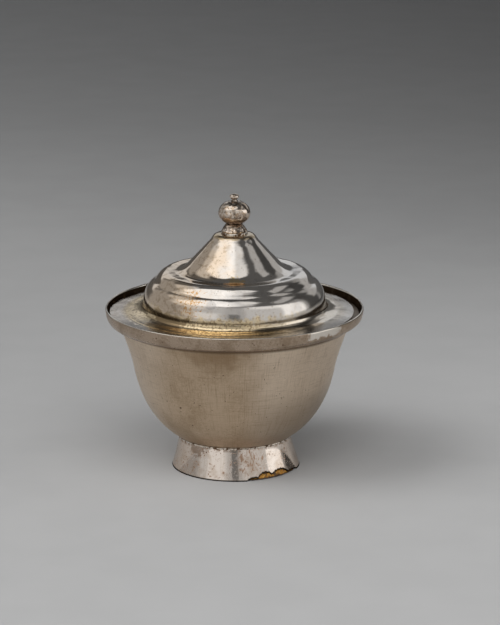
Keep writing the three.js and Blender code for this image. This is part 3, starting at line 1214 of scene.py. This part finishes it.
def direction(azimuth: Array, elevation: Array) -> Array:
    """Find the way toward an azimuth, 0 in front and 90 to the right, and an elevation."""
    turn, lift = np.radians(azimuth), np.radians(elevation)
    return np.stack([np.sin(turn) * np.cos(lift), -np.cos(turn) * np.cos(lift), np.sin(lift)], axis=-1)


def settle(piece: Piece, body: Body, slot: Slot, *nodes: str) -> None:
    """Hand a finished piece over to the frame.

    Args:
        piece: the piece.
        body: the body that it moves with.
        slot: not used.
        nodes: the nodes that it stands for.
    """
    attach(piece, body.value)
    if nodes:
        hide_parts(*nodes)
    log.info("%s rides on %s, stands for %s", piece.name, body.value, ", ".join(nodes) or "nothing")


@dataclass
class Vessel:
    """The raised bowl with its turned-out lip, and the rim band soldered round it."""

    lathe: Lathe
    finishes: Finishes
    facets: int = 256
    step: float = 0.9
    base_height: float = 7.4
    wall: float = 1.0
    belly_radius: float = 39.8
    belly_height: float = 33.45
    belly_slope: float = 10.2
    base_curve: float = 26.5
    belly_curve: float = 17.3
    flare_start: float = 4.8
    flare_end: float = 5.1
    neck_height: float = 51.0
    neck_slope: float = 22.0
    lip_rise: float = 3.5
    lip_bend: float = 0.6
    seam: float = 0.15
    rim_radius: float = 50.8
    rim_spare: float = 0.06
    band_reach: float = 5.25
    band_taper: float = 3.1
    band_roll: float = 1.2
    rail_height: float = 2.6
    rail_thickness: float = 0.8
    rail_lean: float = 0.85
    edge_round: float = 0.35
    bowl_dents: Dents = Dents(0.35, 16, 3)
    band_dents: Dents = Dents(0.30, 9, 5)
    back: Pair = (5.0, 45.0)
    back_lift: float = 0.4
    rail_zone: Pair = (62.0, 64.0)
    left_deepening: float = 0.35
    band_low: Pair = (61.0, 59.0)
    band_face: Pair = (46.6, 47.4)

    @property
    def neck(self) -> Pair:
        """Radius and height of the outside at the neck."""
        return self.rim_radius - self.band_reach, self.base_height + self.neck_height

    @property
    def ledge_height(self) -> float:
        """Height of the ledge that carries the cover."""
        return self.neck[1] + self.lip_rise

    @property
    def rail_foot_radius(self) -> float:
        """Radius of the rail's inside at the ledge."""
        return self.rim_radius - self.rail_thickness - self.rail_lean

    def outside(self) -> Outline:
        """Draw the outside of the bowl, from the axis to the edge of its lip.

        Returns:
            The outline.
        """
        def beside(point: Pair, tilt: float, distance: float) -> Pair:
            """Step up from a point, in a direction that leans outward by a tilt."""
            return point[0] + distance * math.sin(tilt), point[1] + distance * math.cos(tilt)

        belly_tilt, neck_tilt = math.radians(self.belly_slope), math.radians(self.neck_slope)
        belly = self.belly_radius, self.base_height + self.belly_height
        under_ledge = self.ledge_height - self.wall
        centre_z = under_ledge - self.lip_bend
        start_z = centre_z + self.lip_bend * math.sin(neck_tilt)
        start_radius = self.neck[0] + math.tan(neck_tilt) * (start_z - self.neck[1])
        centre = start_radius + self.lip_bend * math.cos(neck_tilt), centre_z
        line = Outline(0.0, self.base_height, self.step)
        line.bend((self.base_curve, self.base_height), beside(belly, belly_tilt, -self.belly_curve), belly)
        flare = beside(belly, belly_tilt, self.flare_start)
        line.bend(flare, beside(self.neck, neck_tilt, -self.flare_end), self.neck)
        line.bend((start_radius, start_z))
        line.arc(centre, (self.lip_bend, self.lip_bend), math.pi - neck_tilt, math.pi / 2)
        return line.bend((self.rail_foot_radius - self.seam, under_ledge))

    def height_at(self, radius: Array | float) -> Array:
        """Find the height of the bowl's outside at a radius below the neck.

        Args:
            radius: one radius, or an array of them.

        Returns:
            The height, or an array of heights.
        """
        points = np.array(self.outside().points)
        below = points[points[:, 1] < self.neck[1]]
        return np.interp(radius, below[:, 0], below[:, 1])

    def band_profile(self) -> Line:
        """Draw the rim band's section, its inside following the bowl's neck and lip.

        Returns:
            Closed line of points.
        """
        hugging = [p for p in self.outside().moved(-self.seam) if p[1] > self.neck[1] - self.seam]
        rim, low_radius = self.rim_radius - self.rim_spare, self.rim_radius - self.band_taper
        bottom, top = float(hugging[0][1]), self.ledge_height + self.rail_height
        edge = top - self.edge_round
        line = Outline(self.rail_foot_radius, float(hugging[-1][1]), self.step / 3)
        line.bend((self.rail_foot_radius, self.ledge_height))
        line.bend((rim - self.rail_thickness, edge))
        line.bend((rim - self.rail_thickness / 2, top + self.edge_round), (rim, edge))
        line.bend((rim, bottom + self.band_roll), (low_radius, bottom + self.edge_round))
        line.bend((low_radius - self.edge_round, bottom))
        return [*line.points, *hugging, line.points[0]]

    def uneven(self, points: Array) -> Array:
        """Lift the rail a little at the back, deepen the band at the left, and keep to the rim's radius.

        Args:
            points: array of points by three, in millimetres.

        Returns:
            The moved points.
        """
        radius = np.hypot(points[:, 0], points[:, 1])
        points[:, 2] += self.back_lift * ease(points[:, 1], self.back) * ease(points[:, 2], self.rail_zone)
        low = ease(points[:, 2], self.band_low) * ease(radius, self.band_face)
        points[:, 2] -= self.left_deepening * low * (-points[:, 0] / self.rim_radius)
        share = np.minimum(1, (self.rim_radius - HAIR) / np.maximum(radius, 1))
        points[:, :2] *= share[:, None]
        return points

    def build(self) -> None:
        """Make the bowl and the band."""
        profile = self.outside().sheet(self.wall)
        bowl = self.lathe.turn("bowl_shell", profile, self.facets, self.finishes.satin, self.bowl_dents)
        settle(bowl, Body.BOWL, Slot.SATIN, "bowl")
        profile = self.band_profile()
        band = self.lathe.turn("rim_band_ring", profile, self.facets, self.finishes.band, self.band_dents)
        move_points(band, self.uneven)
        settle(band, Body.BOWL, Slot.BAND, "rim_band")


@dataclass
class Foot:
    """The strip foot with a break in its lower edge, its solder, and the wax in the break.

    A lobe of the break is given by its middle, its half width and its height. A wave is given by its
    depth, its rate and its start.
    """

    vessel: Vessel
    finishes: Finishes
    facets: int = 720
    rows: int = 36
    crowding: float = 1.4
    base_radius: float = 25.35
    top_radius: float = 22.1
    waist: float = 0.6
    wall: float = 1.2
    bulges: tuple[Place, ...] = ((0.10, 3, 0.6), (0.06, 7, 0.0))
    bulging_from: float = 0.5
    break_direction: float = 39.0
    break_lobes: tuple[Place, ...] = ((-9.2, 2.8, 1.2), (-4.4, 3.6, 2.75), (2.7, 4.9, 2.8), (9.4, 4.4, 1.05))
    break_waves: tuple[Place, ...] = ((0.05, 4.1, 0.0), (0.03, 9.3, 1.0))
    dark_edge: float = 0.5
    wax_columns: int = 240
    wax_recess: float = 0.4
    wax_lumps: tuple[Place, ...] = ((0.16, 1.9, 0.8),)
    wax_lumps_upward: float = 2.1
    wax_ripples: tuple[Place, ...] = ((0.09, 4.3, 0.0),)
    wax_swell: Pair = (0.0, 1.2)
    wax_shadow_reach: Pair = (0.5, 1.3)
    wax_end: float = 0.08
    wax_fullness: float = 2.4
    backing: float = 2.2
    margin: float = 1.6
    lift: float = 0.3
    clearance: float = 0.3
    lean: float = 0.5
    bead_radii: Pair = (0.4, 0.45)
    bead_offset: Pair = (0.02, -0.12)
    bead_facets: int = 512
    bead_dents: Dents = Dents(0.5, 1.7, 11)

    @property
    def top(self) -> float:
        """Height of the foot's upper edge on its face."""
        return float(self.vessel.height_at(self.top_radius)) - self.vessel.seam

    @property
    def facing(self) -> float:
        """Direction of the break in radians."""
        return math.radians(self.break_direction - 90)

    def radius_at(self, height: Array) -> Array:
        """Find the radius of the foot's face at heights above the floor.

        Args:
            height: the heights.

        Returns:
            The radii.
        """
        share = height / self.top
        middle = (self.base_radius + self.top_radius) / 2 - self.waist
        outer, inner = (1 - share) ** 2 * self.base_radius, share**2 * self.top_radius
        return outer + 2 * share * (1 - share) * middle + inner

    def break_line(self, across: Array, margin: float = 0.0) -> Array:
        """Find how high the break reaches, as the outline of its round lobes.

        Args:
            across: distances sideways from its middle, in millimetres.
            margin: how far its outline is grown.

        Returns:
            Heights of its upper edge, 0 outside it.
        """
        height = np.zeros(across.shape)
        for middle, half, crest in self.break_lobes:
            share = np.clip(1 - ((across - middle) / (half + margin)) ** 2, 0, 1)
            height = np.maximum(height, (crest + margin) * np.sqrt(share))
        return height * (1 + waves(across, self.break_waves))

    def leaning(self, points: Array) -> Array:
        """Push the foot sideways toward its base, which isn't quite under the bowl."""
        points[..., 0] += self.lean * (1 - points[..., 2] / self.top)
        return points

    def ring(self) -> Piece:
        """Make the strip, whose lower edge rises over the break.

        Returns:
            The piece.
        """
        angles = np.arange(self.facets) / self.facets * math.tau
        turn = (angles - self.facing + math.pi) % math.tau - math.pi
        across = np.where(np.abs(turn) < math.pi / 2, self.base_radius * np.sin(turn), 1e3)
        low = self.break_line(across)[:, None]
        height = low + np.linspace(0, 1, self.rows)[None, :] ** self.crowding * (self.top - low)
        face = self.radius_at(height)
        back = face - self.wall
        back_height = height.copy()
        back_height[:, -1] = self.vessel.height_at(back[:, -1]) - self.vessel.seam
        radius = np.concatenate([face, back[:, ::-1]], axis=1)
        tall = np.concatenate([height, back_height[:, ::-1]], axis=1)
        bulge = waves(angles, self.bulges)[:, None] * np.sin(np.clip(tall / self.top, 0, 1) * math.pi)
        rows = rolled(radius + np.where(tall > self.bulging_from, bulge, 0), tall, angles)
        mesh = looped_mesh("foot_strip", self.leaning(rows), self.finishes.foot, Ends.JOINED)
        # Painted shadow along the strip just above the break's lower edge, read by its material.
        edge = (low > 0.1) * (1 - ease(height - low, (self.dark_edge * 0.4, self.dark_edge)))
        carry(mesh, "break_shadow", np.concatenate([edge, edge[:, ::-1]], axis=1))
        return finished_piece("foot_strip", mesh)

    def wax(self) -> Piece:
        """Make the wax: a lumpy pad behind the strip, swelling forward into the break.

        Returns:
            The piece.
        """
        break_reach = max(abs(middle) + half for middle, half, _ in self.break_lobes)
        half_pad = (break_reach + self.margin) / self.base_radius
        turns = np.linspace(-half_pad, half_pad, self.wax_columns)
        across = self.base_radius * np.sin(turns)
        pad_top = np.maximum(self.break_line(across, self.margin), self.margin)[:, None]
        height = self.lift + np.linspace(0, 1, self.rows)[None, :] * (pad_top - self.lift)
        inside = (self.break_line(across)[:, None] - height) / self.dark_edge
        swell = ease(inside, self.wax_swell)
        lumps = waves(across, self.wax_lumps)[:, None] * np.cos(height * self.wax_lumps_upward)
        lumps = lumps + waves(across, self.wax_ripples)[:, None]
        behind = self.wall + self.clearance
        front = self.radius_at(height) - behind * (1 - swell) - (self.wax_recess - lumps) * swell
        inward = (half_pad - np.abs(turns)) / half_pad
        ends = np.clip(inward * self.wax_fullness, self.wax_end, math.pi / 2)
        back = self.radius_at(height) - behind - self.backing * np.sin(ends)[:, None]
        radius = np.concatenate([front, back[:, ::-1]], axis=1)
        tall = np.concatenate([height, height[:, ::-1]], axis=1)
        loops = self.leaning(rolled(radius, tall, self.facing + turns))
        mesh = looped_mesh("foot_wax", loops, self.finishes.wax, Ends.CAPPED)
        # Painted shadow on the wax near the break's edge, and all over its hidden back.
        edge = 1 - ease(inside, self.wax_shadow_reach)
        carry(mesh, "break_shadow", np.concatenate([edge, np.ones(edge.shape)], axis=1))
        return finished_piece("foot_wax", mesh)

    def build(self) -> None:
        """Make the foot, its wax and its solder."""
        settle(self.ring(), Body.BOWL, Slot.FOOT, "foot_ring")
        settle(self.wax(), Body.BOWL, Slot.WAX, "foot_edge_fill")
        centre = self.top_radius + self.bead_offset[0], self.top + self.bead_offset[1]
        profile = bead(centre, self.bead_radii)
        solder = self.vessel.lathe.turn(
            "foot_solder", profile, self.bead_facets, self.finishes.solder, self.bead_dents,
        )
        settle(solder, Body.BOWL, Slot.FOOT)


@dataclass
class Cover:
    """The lift-off cover: a flat brim, two tiers and a cone up to the crown.

    Pairs are points of radius and height above the brim.
    """

    lathe: Lathe
    finishes: Finishes
    seat: float
    brim_radius: float
    facets: int = 256
    step: float = 0.75
    wall: float = 0.7
    dents: Dents = Dents(0.22, 9, 7)
    brim_rise: float = 0.25
    brim_inner: float = 41.0
    brim_shift: float = -1.05
    shift_start: float = 37.9
    lower_foot: Pair = (35.9, 2.8)
    lower_tier: tuple[Pair, ...] = ((35.8, 6.2), (35.4, 10.2), (31.2, 12.55))
    upper_tier: tuple[Pair, ...] = ((28.9, 16.25), (26.5, 16.25))
    gutter: float = 0.1
    flare_radius: float = 23.0
    cone_base: Pair = (17.9, 19.4)
    cone_top: Pair = (9.8, 28.1)
    crown: Pair = (6.3, 31.1)
    crown_ease: float = 2.0
    hole: float = 1.0
    shoulder_start: float = 0.15

    @property
    def brim_height(self) -> float:
        """Height of the brim's upper face above the floor."""
        return self.seat + self.wall

    def outside(self) -> Outline:
        """Draw the outside, from the edge of the brim up to the pin's hole.

        Returns:
            The outline.
        """
        run, rise = self.cone_base[0] - self.cone_top[0], self.cone_top[1] - self.cone_base[1]
        step_height = self.upper_tier[-1][1] - self.gutter
        corner = self.cone_base[0] + (self.cone_base[1] - step_height) * run / rise
        shoulder = self.cone_top[0] - self.shoulder_start * run, self.cone_top[1] + self.shoulder_start * rise
        line = Outline(self.brim_radius, self.brim_height, self.step)
        for curve in (
            ((self.brim_inner, self.brim_rise),),
            ((self.lower_foot[0] + self.brim_rise, self.brim_rise), self.lower_foot),
            self.lower_tier,
            self.upper_tier,
            ((self.flare_radius, step_height),),
            ((corner, step_height), self.cone_base),
            (self.cone_top,),
            (shoulder, (self.crown[0] + self.crown_ease, self.crown[1]), self.crown),
            ((self.hole, self.crown[1]),),
        ):
            line.bend(*((radius, self.brim_height + height) for radius, height in curve))
        return line

    def shifted_brim(self, points: Array) -> Array:
        """Move the brim sideways under the tiers, as on the real cover, and keep it off its ledge.

        Args:
            points: array of points by three, in millimetres.

        Returns:
            The moved points.
        """
        radius = np.hypot(points[:, 0], points[:, 1])
        points[:, 0] += self.brim_shift * ease(radius, (self.shift_start, self.brim_radius))
        points[:, 2] = np.where(radius > self.brim_inner, np.maximum(points[:, 2], self.seat), points[:, 2])
        return points

    def build(self) -> None:
        """Make the cover."""
        profile = self.outside().sheet(self.wall)
        sheet = self.lathe.turn("cover_sheet", profile, self.facets, self.finishes.bright, self.dents)
        move_points(sheet, self.shifted_brim)
        settle(sheet, Body.COVER, Slot.BRIGHT, "cover")


@dataclass
class Finial:
    """The pinned finial: collar, hollow ball of two halves, and pin with bead and washer."""

    lathe: Lathe
    finishes: Finishes
    crown_height: float
    cover_wall: float = 0.7
    facets: int = 96
    step: float = 0.25
    hole: float = 1.0
    pin_radius: float = 0.9
    collar_base: float = 4.5
    collar_radius: float = 5.0
    collar_edge: float = 1.3
    collar_top: float = 3.2
    collar_height: float = 3.9
    ball_radius: float = 6.25
    ball_height: float = 8.9
    ball_seat: float = 2.6
    ball_wall: float = 0.7
    neck_radius: float = 1.35
    neck_height: float = 0.7
    waist_radius: float = 1.0
    bead_radius: float = 1.85
    bead_height: float = 2.3
    washer_radius: float = 3.0
    washer_thickness: float = 0.6
    rivet_radius: float = 1.7
    rivet_height: float = 0.7
    collar_dents: Dents = Dents(0.7, 2.4, 2)
    ball_dents: Dents = Dents(0.35, 3.4, 2)
    pin_dents: Dents = Dents(0.08, 1.5, 2)
    washer_dents: Dents = Dents(0.0, 3.0, 2)
    solder_radius: float = 0.75
    solder_rise: float = 0.1
    solder_facets: int = 160
    solder_dents: Dents = Dents(0.4, 1.4, 4)

    @property
    def ball_foot(self) -> float:
        """Height of the ball's lower end."""
        return self.crown_height + self.collar_height

    @property
    def ball_top(self) -> float:
        """Height of the ball's upper end."""
        return self.ball_foot + self.ball_height

    @property
    def rivet_seat(self) -> float:
        """Height of the washer's lower face, which the pin's foot grips."""
        return self.crown_height - self.cover_wall - self.washer_thickness

    def collar(self) -> Line:
        """Draw the collar's section.

        Returns:
            Closed line of points.
        """
        line = Outline(self.collar_base, self.crown_height, self.step)
        line.bend((self.collar_radius, self.crown_height + self.collar_edge))
        line.bend((self.collar_top, self.ball_foot)).bend((self.hole, self.ball_foot))
        return line.bend((self.hole, self.crown_height)).bend((self.collar_base, self.crown_height)).points

    def ball_half(self, upper: bool) -> Line:
        """Draw the section of one half of the ball.

        Args:
            upper: True for the half above the seam.

        Returns:
            Closed line of points.
        """
        middle = self.ball_height / 2
        start = math.acos(self.ball_seat / self.ball_radius)
        outer = middle / math.sin(start)
        inner = outer - self.ball_wall
        inner_start = math.asin((middle - self.ball_wall) / inner)
        line = Outline(self.hole, 0.0, self.step)
        line.bend((self.ball_seat, 0.0))
        line.arc((0, middle), (self.ball_radius, outer), -start, 0.0)
        line.arc((0, middle), (self.ball_radius - self.ball_wall, inner), 0.0, -inner_start)
        line.bend((self.hole, self.ball_wall)).bend((self.hole, 0.0))
        return [
            np.array((r, self.ball_foot + (self.ball_height - h if upper else h))) for r, h in line.points
        ]

    def pin(self) -> Line:
        """Draw the pin: riveted foot, shank, neck and bead.

        Returns:
            Line of points from axis to axis.
        """
        top, seat = self.ball_top, self.rivet_seat
        middle = top + self.neck_height + self.bead_height / 2
        line = Outline(0.0, seat - self.rivet_height, self.step)
        line.bend((self.rivet_radius, seat - self.rivet_height), (self.rivet_radius, seat))
        line.bend((self.pin_radius, seat)).bend((self.pin_radius, top)).bend((self.neck_radius, top))
        waist = -math.acos(self.waist_radius / self.bead_radius)
        line.arc((0, middle), (self.bead_radius, self.bead_height / 2), waist, math.pi / 2)
        line.points[-1][0] = 0.0
        return line.points

    def washer(self) -> Line:
        """Draw the washer's section.

        Returns:
            Closed line of points.
        """
        low, high = self.rivet_seat, self.rivet_seat + self.washer_thickness
        line = Outline(self.hole, low, self.step)
        line.bend((self.washer_radius, low)).bend((self.washer_radius, high))
        return line.bend((self.hole, high)).bend((self.hole, low)).points

    def under_top(self, points: Array) -> Array:
        """Keep dented points below the bead's top.

        Args:
            points: array of points by three, in millimetres.

        Returns:
            The moved points.
        """
        top = self.ball_top + self.neck_height + self.bead_height
        points[:, 2] = np.minimum(points[:, 2], top - HAIR)
        return points

    def build(self) -> None:
        """Make every piece of the finial."""
        for name, profile, dents, node in (
            ("collar_bead", self.collar(), self.collar_dents, "finial_collar"),
            ("ball_lower_half", self.ball_half(upper=False), self.ball_dents, "finial_ball_lower"),
            ("ball_upper_half", self.ball_half(upper=True), self.ball_dents, "finial_ball_upper"),
            ("pin_with_bead", self.pin(), self.pin_dents, "finial_pin"),
            ("washer_under_crown", self.washer(), self.washer_dents, "pin_washer"),
        ):
            made = self.lathe.turn(name, profile, self.facets, self.finishes.cast, dents)
            move_points(made, self.under_top)
            settle(made, Body.COVER, Slot.FINIAL, node)
        profile = bead((self.collar_base, self.crown_height + self.solder_rise), (self.solder_radius,) * 2)
        ring = self.lathe.turn(
            "collar_solder", profile, self.solder_facets, self.finishes.solder, self.solder_dents,
        )
        settle(ring, Body.COVER, Slot.FINIAL)


@dataclass(frozen=True)
class Glow:
    """A soft patch of light on the tent's cloth, given by the directions that it fills.

    Azimuth is 0 in front of the object and grows to the right, elevation is 0 at the horizon.
    A soft edge is as wide as stated and lies half inside and half outside the patch.
    """

    azimuths: Pair
    elevations: Pair
    brightness: float
    soft: Pair
    slant: float = 0.0
    tint: Colour = WHITE

    def share(self, azimuth: Array, elevation: Array) -> Array:
        """Find how much of the patch's light shows in each direction.

        Args:
            azimuth: directions round the object.
            elevation: their heights above the horizon.

        Returns:
            Shares from 0 to 1.
        """
        middle, half = sum(self.azimuths) / 2, (self.azimuths[1] - self.azimuths[0]) / 2
        away = (azimuth - middle + 180) % 360 - 180
        low, high = (limit + self.slant * away for limit in self.elevations)
        side, rise = ((-width / 2, width / 2) for width in self.soft)
        return ease(half - np.abs(away), side) * ease(elevation - low, rise) * ease(high - elevation, rise)


@dataclass
class Tent:
    """A cloth tent round the object, lit unevenly from outside, which the silver mirrors."""

    aim: Place
    glows: tuple[Glow, ...] = (
        Glow((-180, 180), (-9, 38), 0.29, (0.1, 8)),
        Glow((-22, 16), (-9, 50), 0.38, (12, 8)),
        Glow((-72, -14), (-9, 50), 0.46, (14, 6)),
        Glow((-54, -20), (-9, 19), 0.66, (12, 8)),
        Glow((-100, -42), (30, 50), 0.62, (12, 6)),
        Glow((14, 66), (-9, 46), 0.50, (10, 5), slant=-0.2),
        Glow((22, 72), (33, 46), 0.76, (14, 5), slant=-0.25),
        Glow((64, 101), (-9, 34), 0.94, (3, 4), slant=-0.4),
        Glow((107, 136), (-9, 44), 0.055, (7, 5)),
        Glow((128, 152), (14, 30), 0.37, (6, 4)),
        Glow((142, 222), (-9, 13.6), 0.09, (10, 1.2)),
        Glow((151, 214), (13.6, 29), 0.58, (8, 1.2), tint=(0.97, 1.0, 1.04)),
        Glow((-150, -144), (19, 50), 0.14, (4, 5)),
        Glow((-182, -156), (30, 50), 0.05, (6, 5)),
        Glow((-152, -126), (40, 66), 0.10, (10, 6)),
        Glow((-128, -100), (38, 60), 0.52, (12, 6)),
        Glow((74, 122), (45, 57), 0.38, (8, 4)),
        Glow((-70, 22), (53, 83), 1.12, (76, 7), slant=0.08),
        Glow((-100, -36), (44, 83), 1.04, (14, 5), slant=0.12),
        Glow((12, 66), (66, 85), 0.74, (20, 5)),
        Glow((-6.2, 6.2), (-9, 16), 0.15, (1.0, 4)),
    )
    room: float = 0.085
    distance: float = 1900.0
    lowest: float = -1.8
    spacing: float = 1.2

    def cloth(self) -> Material:
        """Make the cloth, which shines with the light that the mesh carries at each point.

        Returns:
            The cloth's material.
        """
        paint = Paint("tent_cloth")
        colour = paint.add("ShaderNodeAttribute", attribute_name="light").outputs["Color"]
        glowing = paint.add("ShaderNodeEmission", {"Color": colour, "Strength": 1.0})
        paint.add("ShaderNodeOutputMaterial", {"Surface": glowing.outputs[0]})
        return paint.material

    def build(self) -> Piece:
        """Make the tent, bent round the point that the lamps aim at.

        Returns:
            The tent.
        """
        turns = np.arange(-180.0, 180.0, self.spacing)
        lifts = np.linspace(self.lowest, 90.0, round((90.0 - self.lowest) / self.spacing))
        lift, turn = np.meshgrid(lifts, turns, indexing="ij")
        points = direction(turn, lift) * self.distance + np.array(self.aim)
        mesh = looped_mesh("tent", points, self.cloth(), Ends.OPEN)
        light = np.full((*lift.shape, 3), self.room)
        for glow in self.glows:
            light += (glow.brightness * np.array(glow.tint) - light) * glow.share(turn, lift)[..., None]
        layer = mesh.attributes.new("light", "FLOAT_VECTOR", "POINT")
        layer.data.foreach_set("vector", light.astype(np.float32).ravel())
        tent = placed("tent", mesh)
        tent.visible_camera = False
        tent.visible_shadow = False
        return tent


class Lamp(NamedTuple):
    """A soft lamp: its name, its direction as azimuth and elevation, its width, and its power in watts."""

    name: str
    azimuth: float
    elevation: float
    size: float
    power: float


@dataclass
class Studio:
    """Pale floor, soft lamps, the tent round the object, and the camera."""

    camera_place: Place = (6.12, -1167.5, 363.0)
    camera_pitch: float = 14.465
    focal_pixels: float = 3062.3
    image_height: int = 625
    sensor: float = 36.0
    clip_metres: Pair = (0.05, 50.0)
    floor_radius: float = 6000.0
    floor_sides: int = 64
    aim: Place = (0.0, 0.0, 60.0)
    near_grey: float = 0.47
    # Painted light falloff: shares of the floor's grey by distance from the front.
    fades: tuple[Pair, ...] = (
        (-50, 1.0), (0, 0.965), (90, 0.975), (264, 0.88), (489, 0.69), (722, 0.535), (945, 0.465),
        (1300, 0.41),
    )
    tilts: Pair = (0.25, -0.9)
    tilt_span: Span = Span(150.0, 480.0)
    least_tilt: float = 0.3
    paper_grain: Cloud = Cloud(30.0, 2.0, 0.3, 0.7)
    paper_shades: Pair = (0.985, 1.015)
    paper_rough: float = 0.9
    paper_gloss: float = 0.1
    room: float = 0.08
    lamps: tuple[Lamp, ...] = (
        Lamp("soft_lamp", -66, 50, 900.0, 7.2),
        Lamp("front_lamp", 10, 48, 1300.0, 9.0),
    )
    lamp_distance: float = 1500.0

    def camera(self) -> None:
        """Place the camera where the object was seen from."""
        data = bpy.data.cameras.new("camera")
        data.sensor_width = self.sensor
        data.lens = self.focal_pixels / self.image_height * self.sensor
        data.clip_start, data.clip_end = self.clip_metres
        made = placed("camera", data)
        made.location = Vector(self.camera_place) * MM
        made.rotation_euler = (math.radians(90 - self.camera_pitch), 0, 0)
        bpy.context.scene.camera = made

    def paper(self) -> Material:
        """Make the floor's paper, with painted light falloff: its grey darkens away from the front and toward
        the far right.

        Returns:
            The finished material.
        """
        paint = Paint("floor_paper")
        first, last = self.fades[0][0], self.fades[-1][0]
        depth = paint.add("ShaderNodeMapRange", {"Value": paint.y, "From Min": first, "From Max": last})
        ramp = paint.add("ShaderNodeValToRGB", {"Fac": depth.outputs["Result"]})
        stops = ramp.color_ramp.elements
        while len(stops) < len(self.fades):
            stops.new(0.5)
        for stop, (place, share) in zip(stops, self.fades):
            stop.position = (place - first) / (last - first)
            stop.color = (*(self.near_grey * share,) * 3, 1.0)
        tilt = paint.level(paint.y.past(self.tilt_span), *self.tilts) * (paint.x * MM) + 1.0
        grain = paint.level(paint.patches(self.paper_grain), *self.paper_shades)
        paint.base = paint.scaled(ramp.outputs["Color"], (tilt | self.least_tilt) * grain)
        return paint.surface(self.paper_rough, Specular_IOR_Level=self.paper_gloss)

    def floor(self) -> Piece:
        """Lay the floor.

        Returns:
            The floor.
        """
        work = bmesh.new()
        bmesh.ops.create_circle(work, cap_ends=True, segments=self.floor_sides, radius=self.floor_radius * MM)
        mesh = bpy.data.meshes.new("floor")
        work.to_mesh(mesh)
        work.free()
        mesh.materials.append(self.paper())
        return placed("floor", mesh)

    def world(self) -> None:
        """Fill the room with dim grey light."""
        world = bpy.data.worlds.new("room")
        bpy.context.scene.world = world
        world.use_nodes = True
        world.node_tree.nodes.clear()
        wiring = Wiring(world.node_tree)
        light = wiring.add("ShaderNodeBackground", {"Color": WHITE, "Strength": self.room})
        wiring.add("ShaderNodeOutputWorld", {"Surface": light.outputs[0]})

    def hang(self, lamp: Lamp) -> None:
        """Hang one soft lamp that lights the floor but isn't mirrored.

        Args:
            lamp: the lamp.
        """
        way = Vector(direction(lamp.azimuth, lamp.elevation))
        data = bpy.data.lights.new(lamp.name, "AREA")
        data.shape = "DISK"
        data.size = lamp.size * MM
        data.energy = lamp.power
        made = placed(lamp.name, data)
        made.location = (Vector(self.aim) + way * self.lamp_distance) * MM
        made.rotation_euler = (-way).to_track_quat("-Z", "Y").to_euler()
        made.visible_glossy = False

    def build(self) -> None:
        """Set everything round the object."""
        bpy.context.scene.view_settings.view_transform = "Standard"
        self.camera()
        self.floor()
        self.world()
        Tent(self.aim).build()
        for lamp in self.lamps:
            self.hang(lamp)


def main() -> None:
    """Build the bowl, its foot, the cover, the finial and the studio in turn."""
    logging.basicConfig(level=logging.INFO, format="%(message)s")
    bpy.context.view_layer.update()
    finishes = Finishes()
    lathe = Lathe()
    vessel = Vessel(lathe, finishes)
    vessel.build()
    Foot(vessel, finishes).build()
    cover_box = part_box("cover")
    brim_radius = cover_box[1].x / MM
    cover = Cover(lathe, finishes, seat=cover_box[0].z / MM, brim_radius=brim_radius)
    cover.build()
    Finial(lathe, finishes, crown_height=cover.brim_height + cover.crown[1]).build()
    Studio().build()


if __name__ == "__main__":
    main()
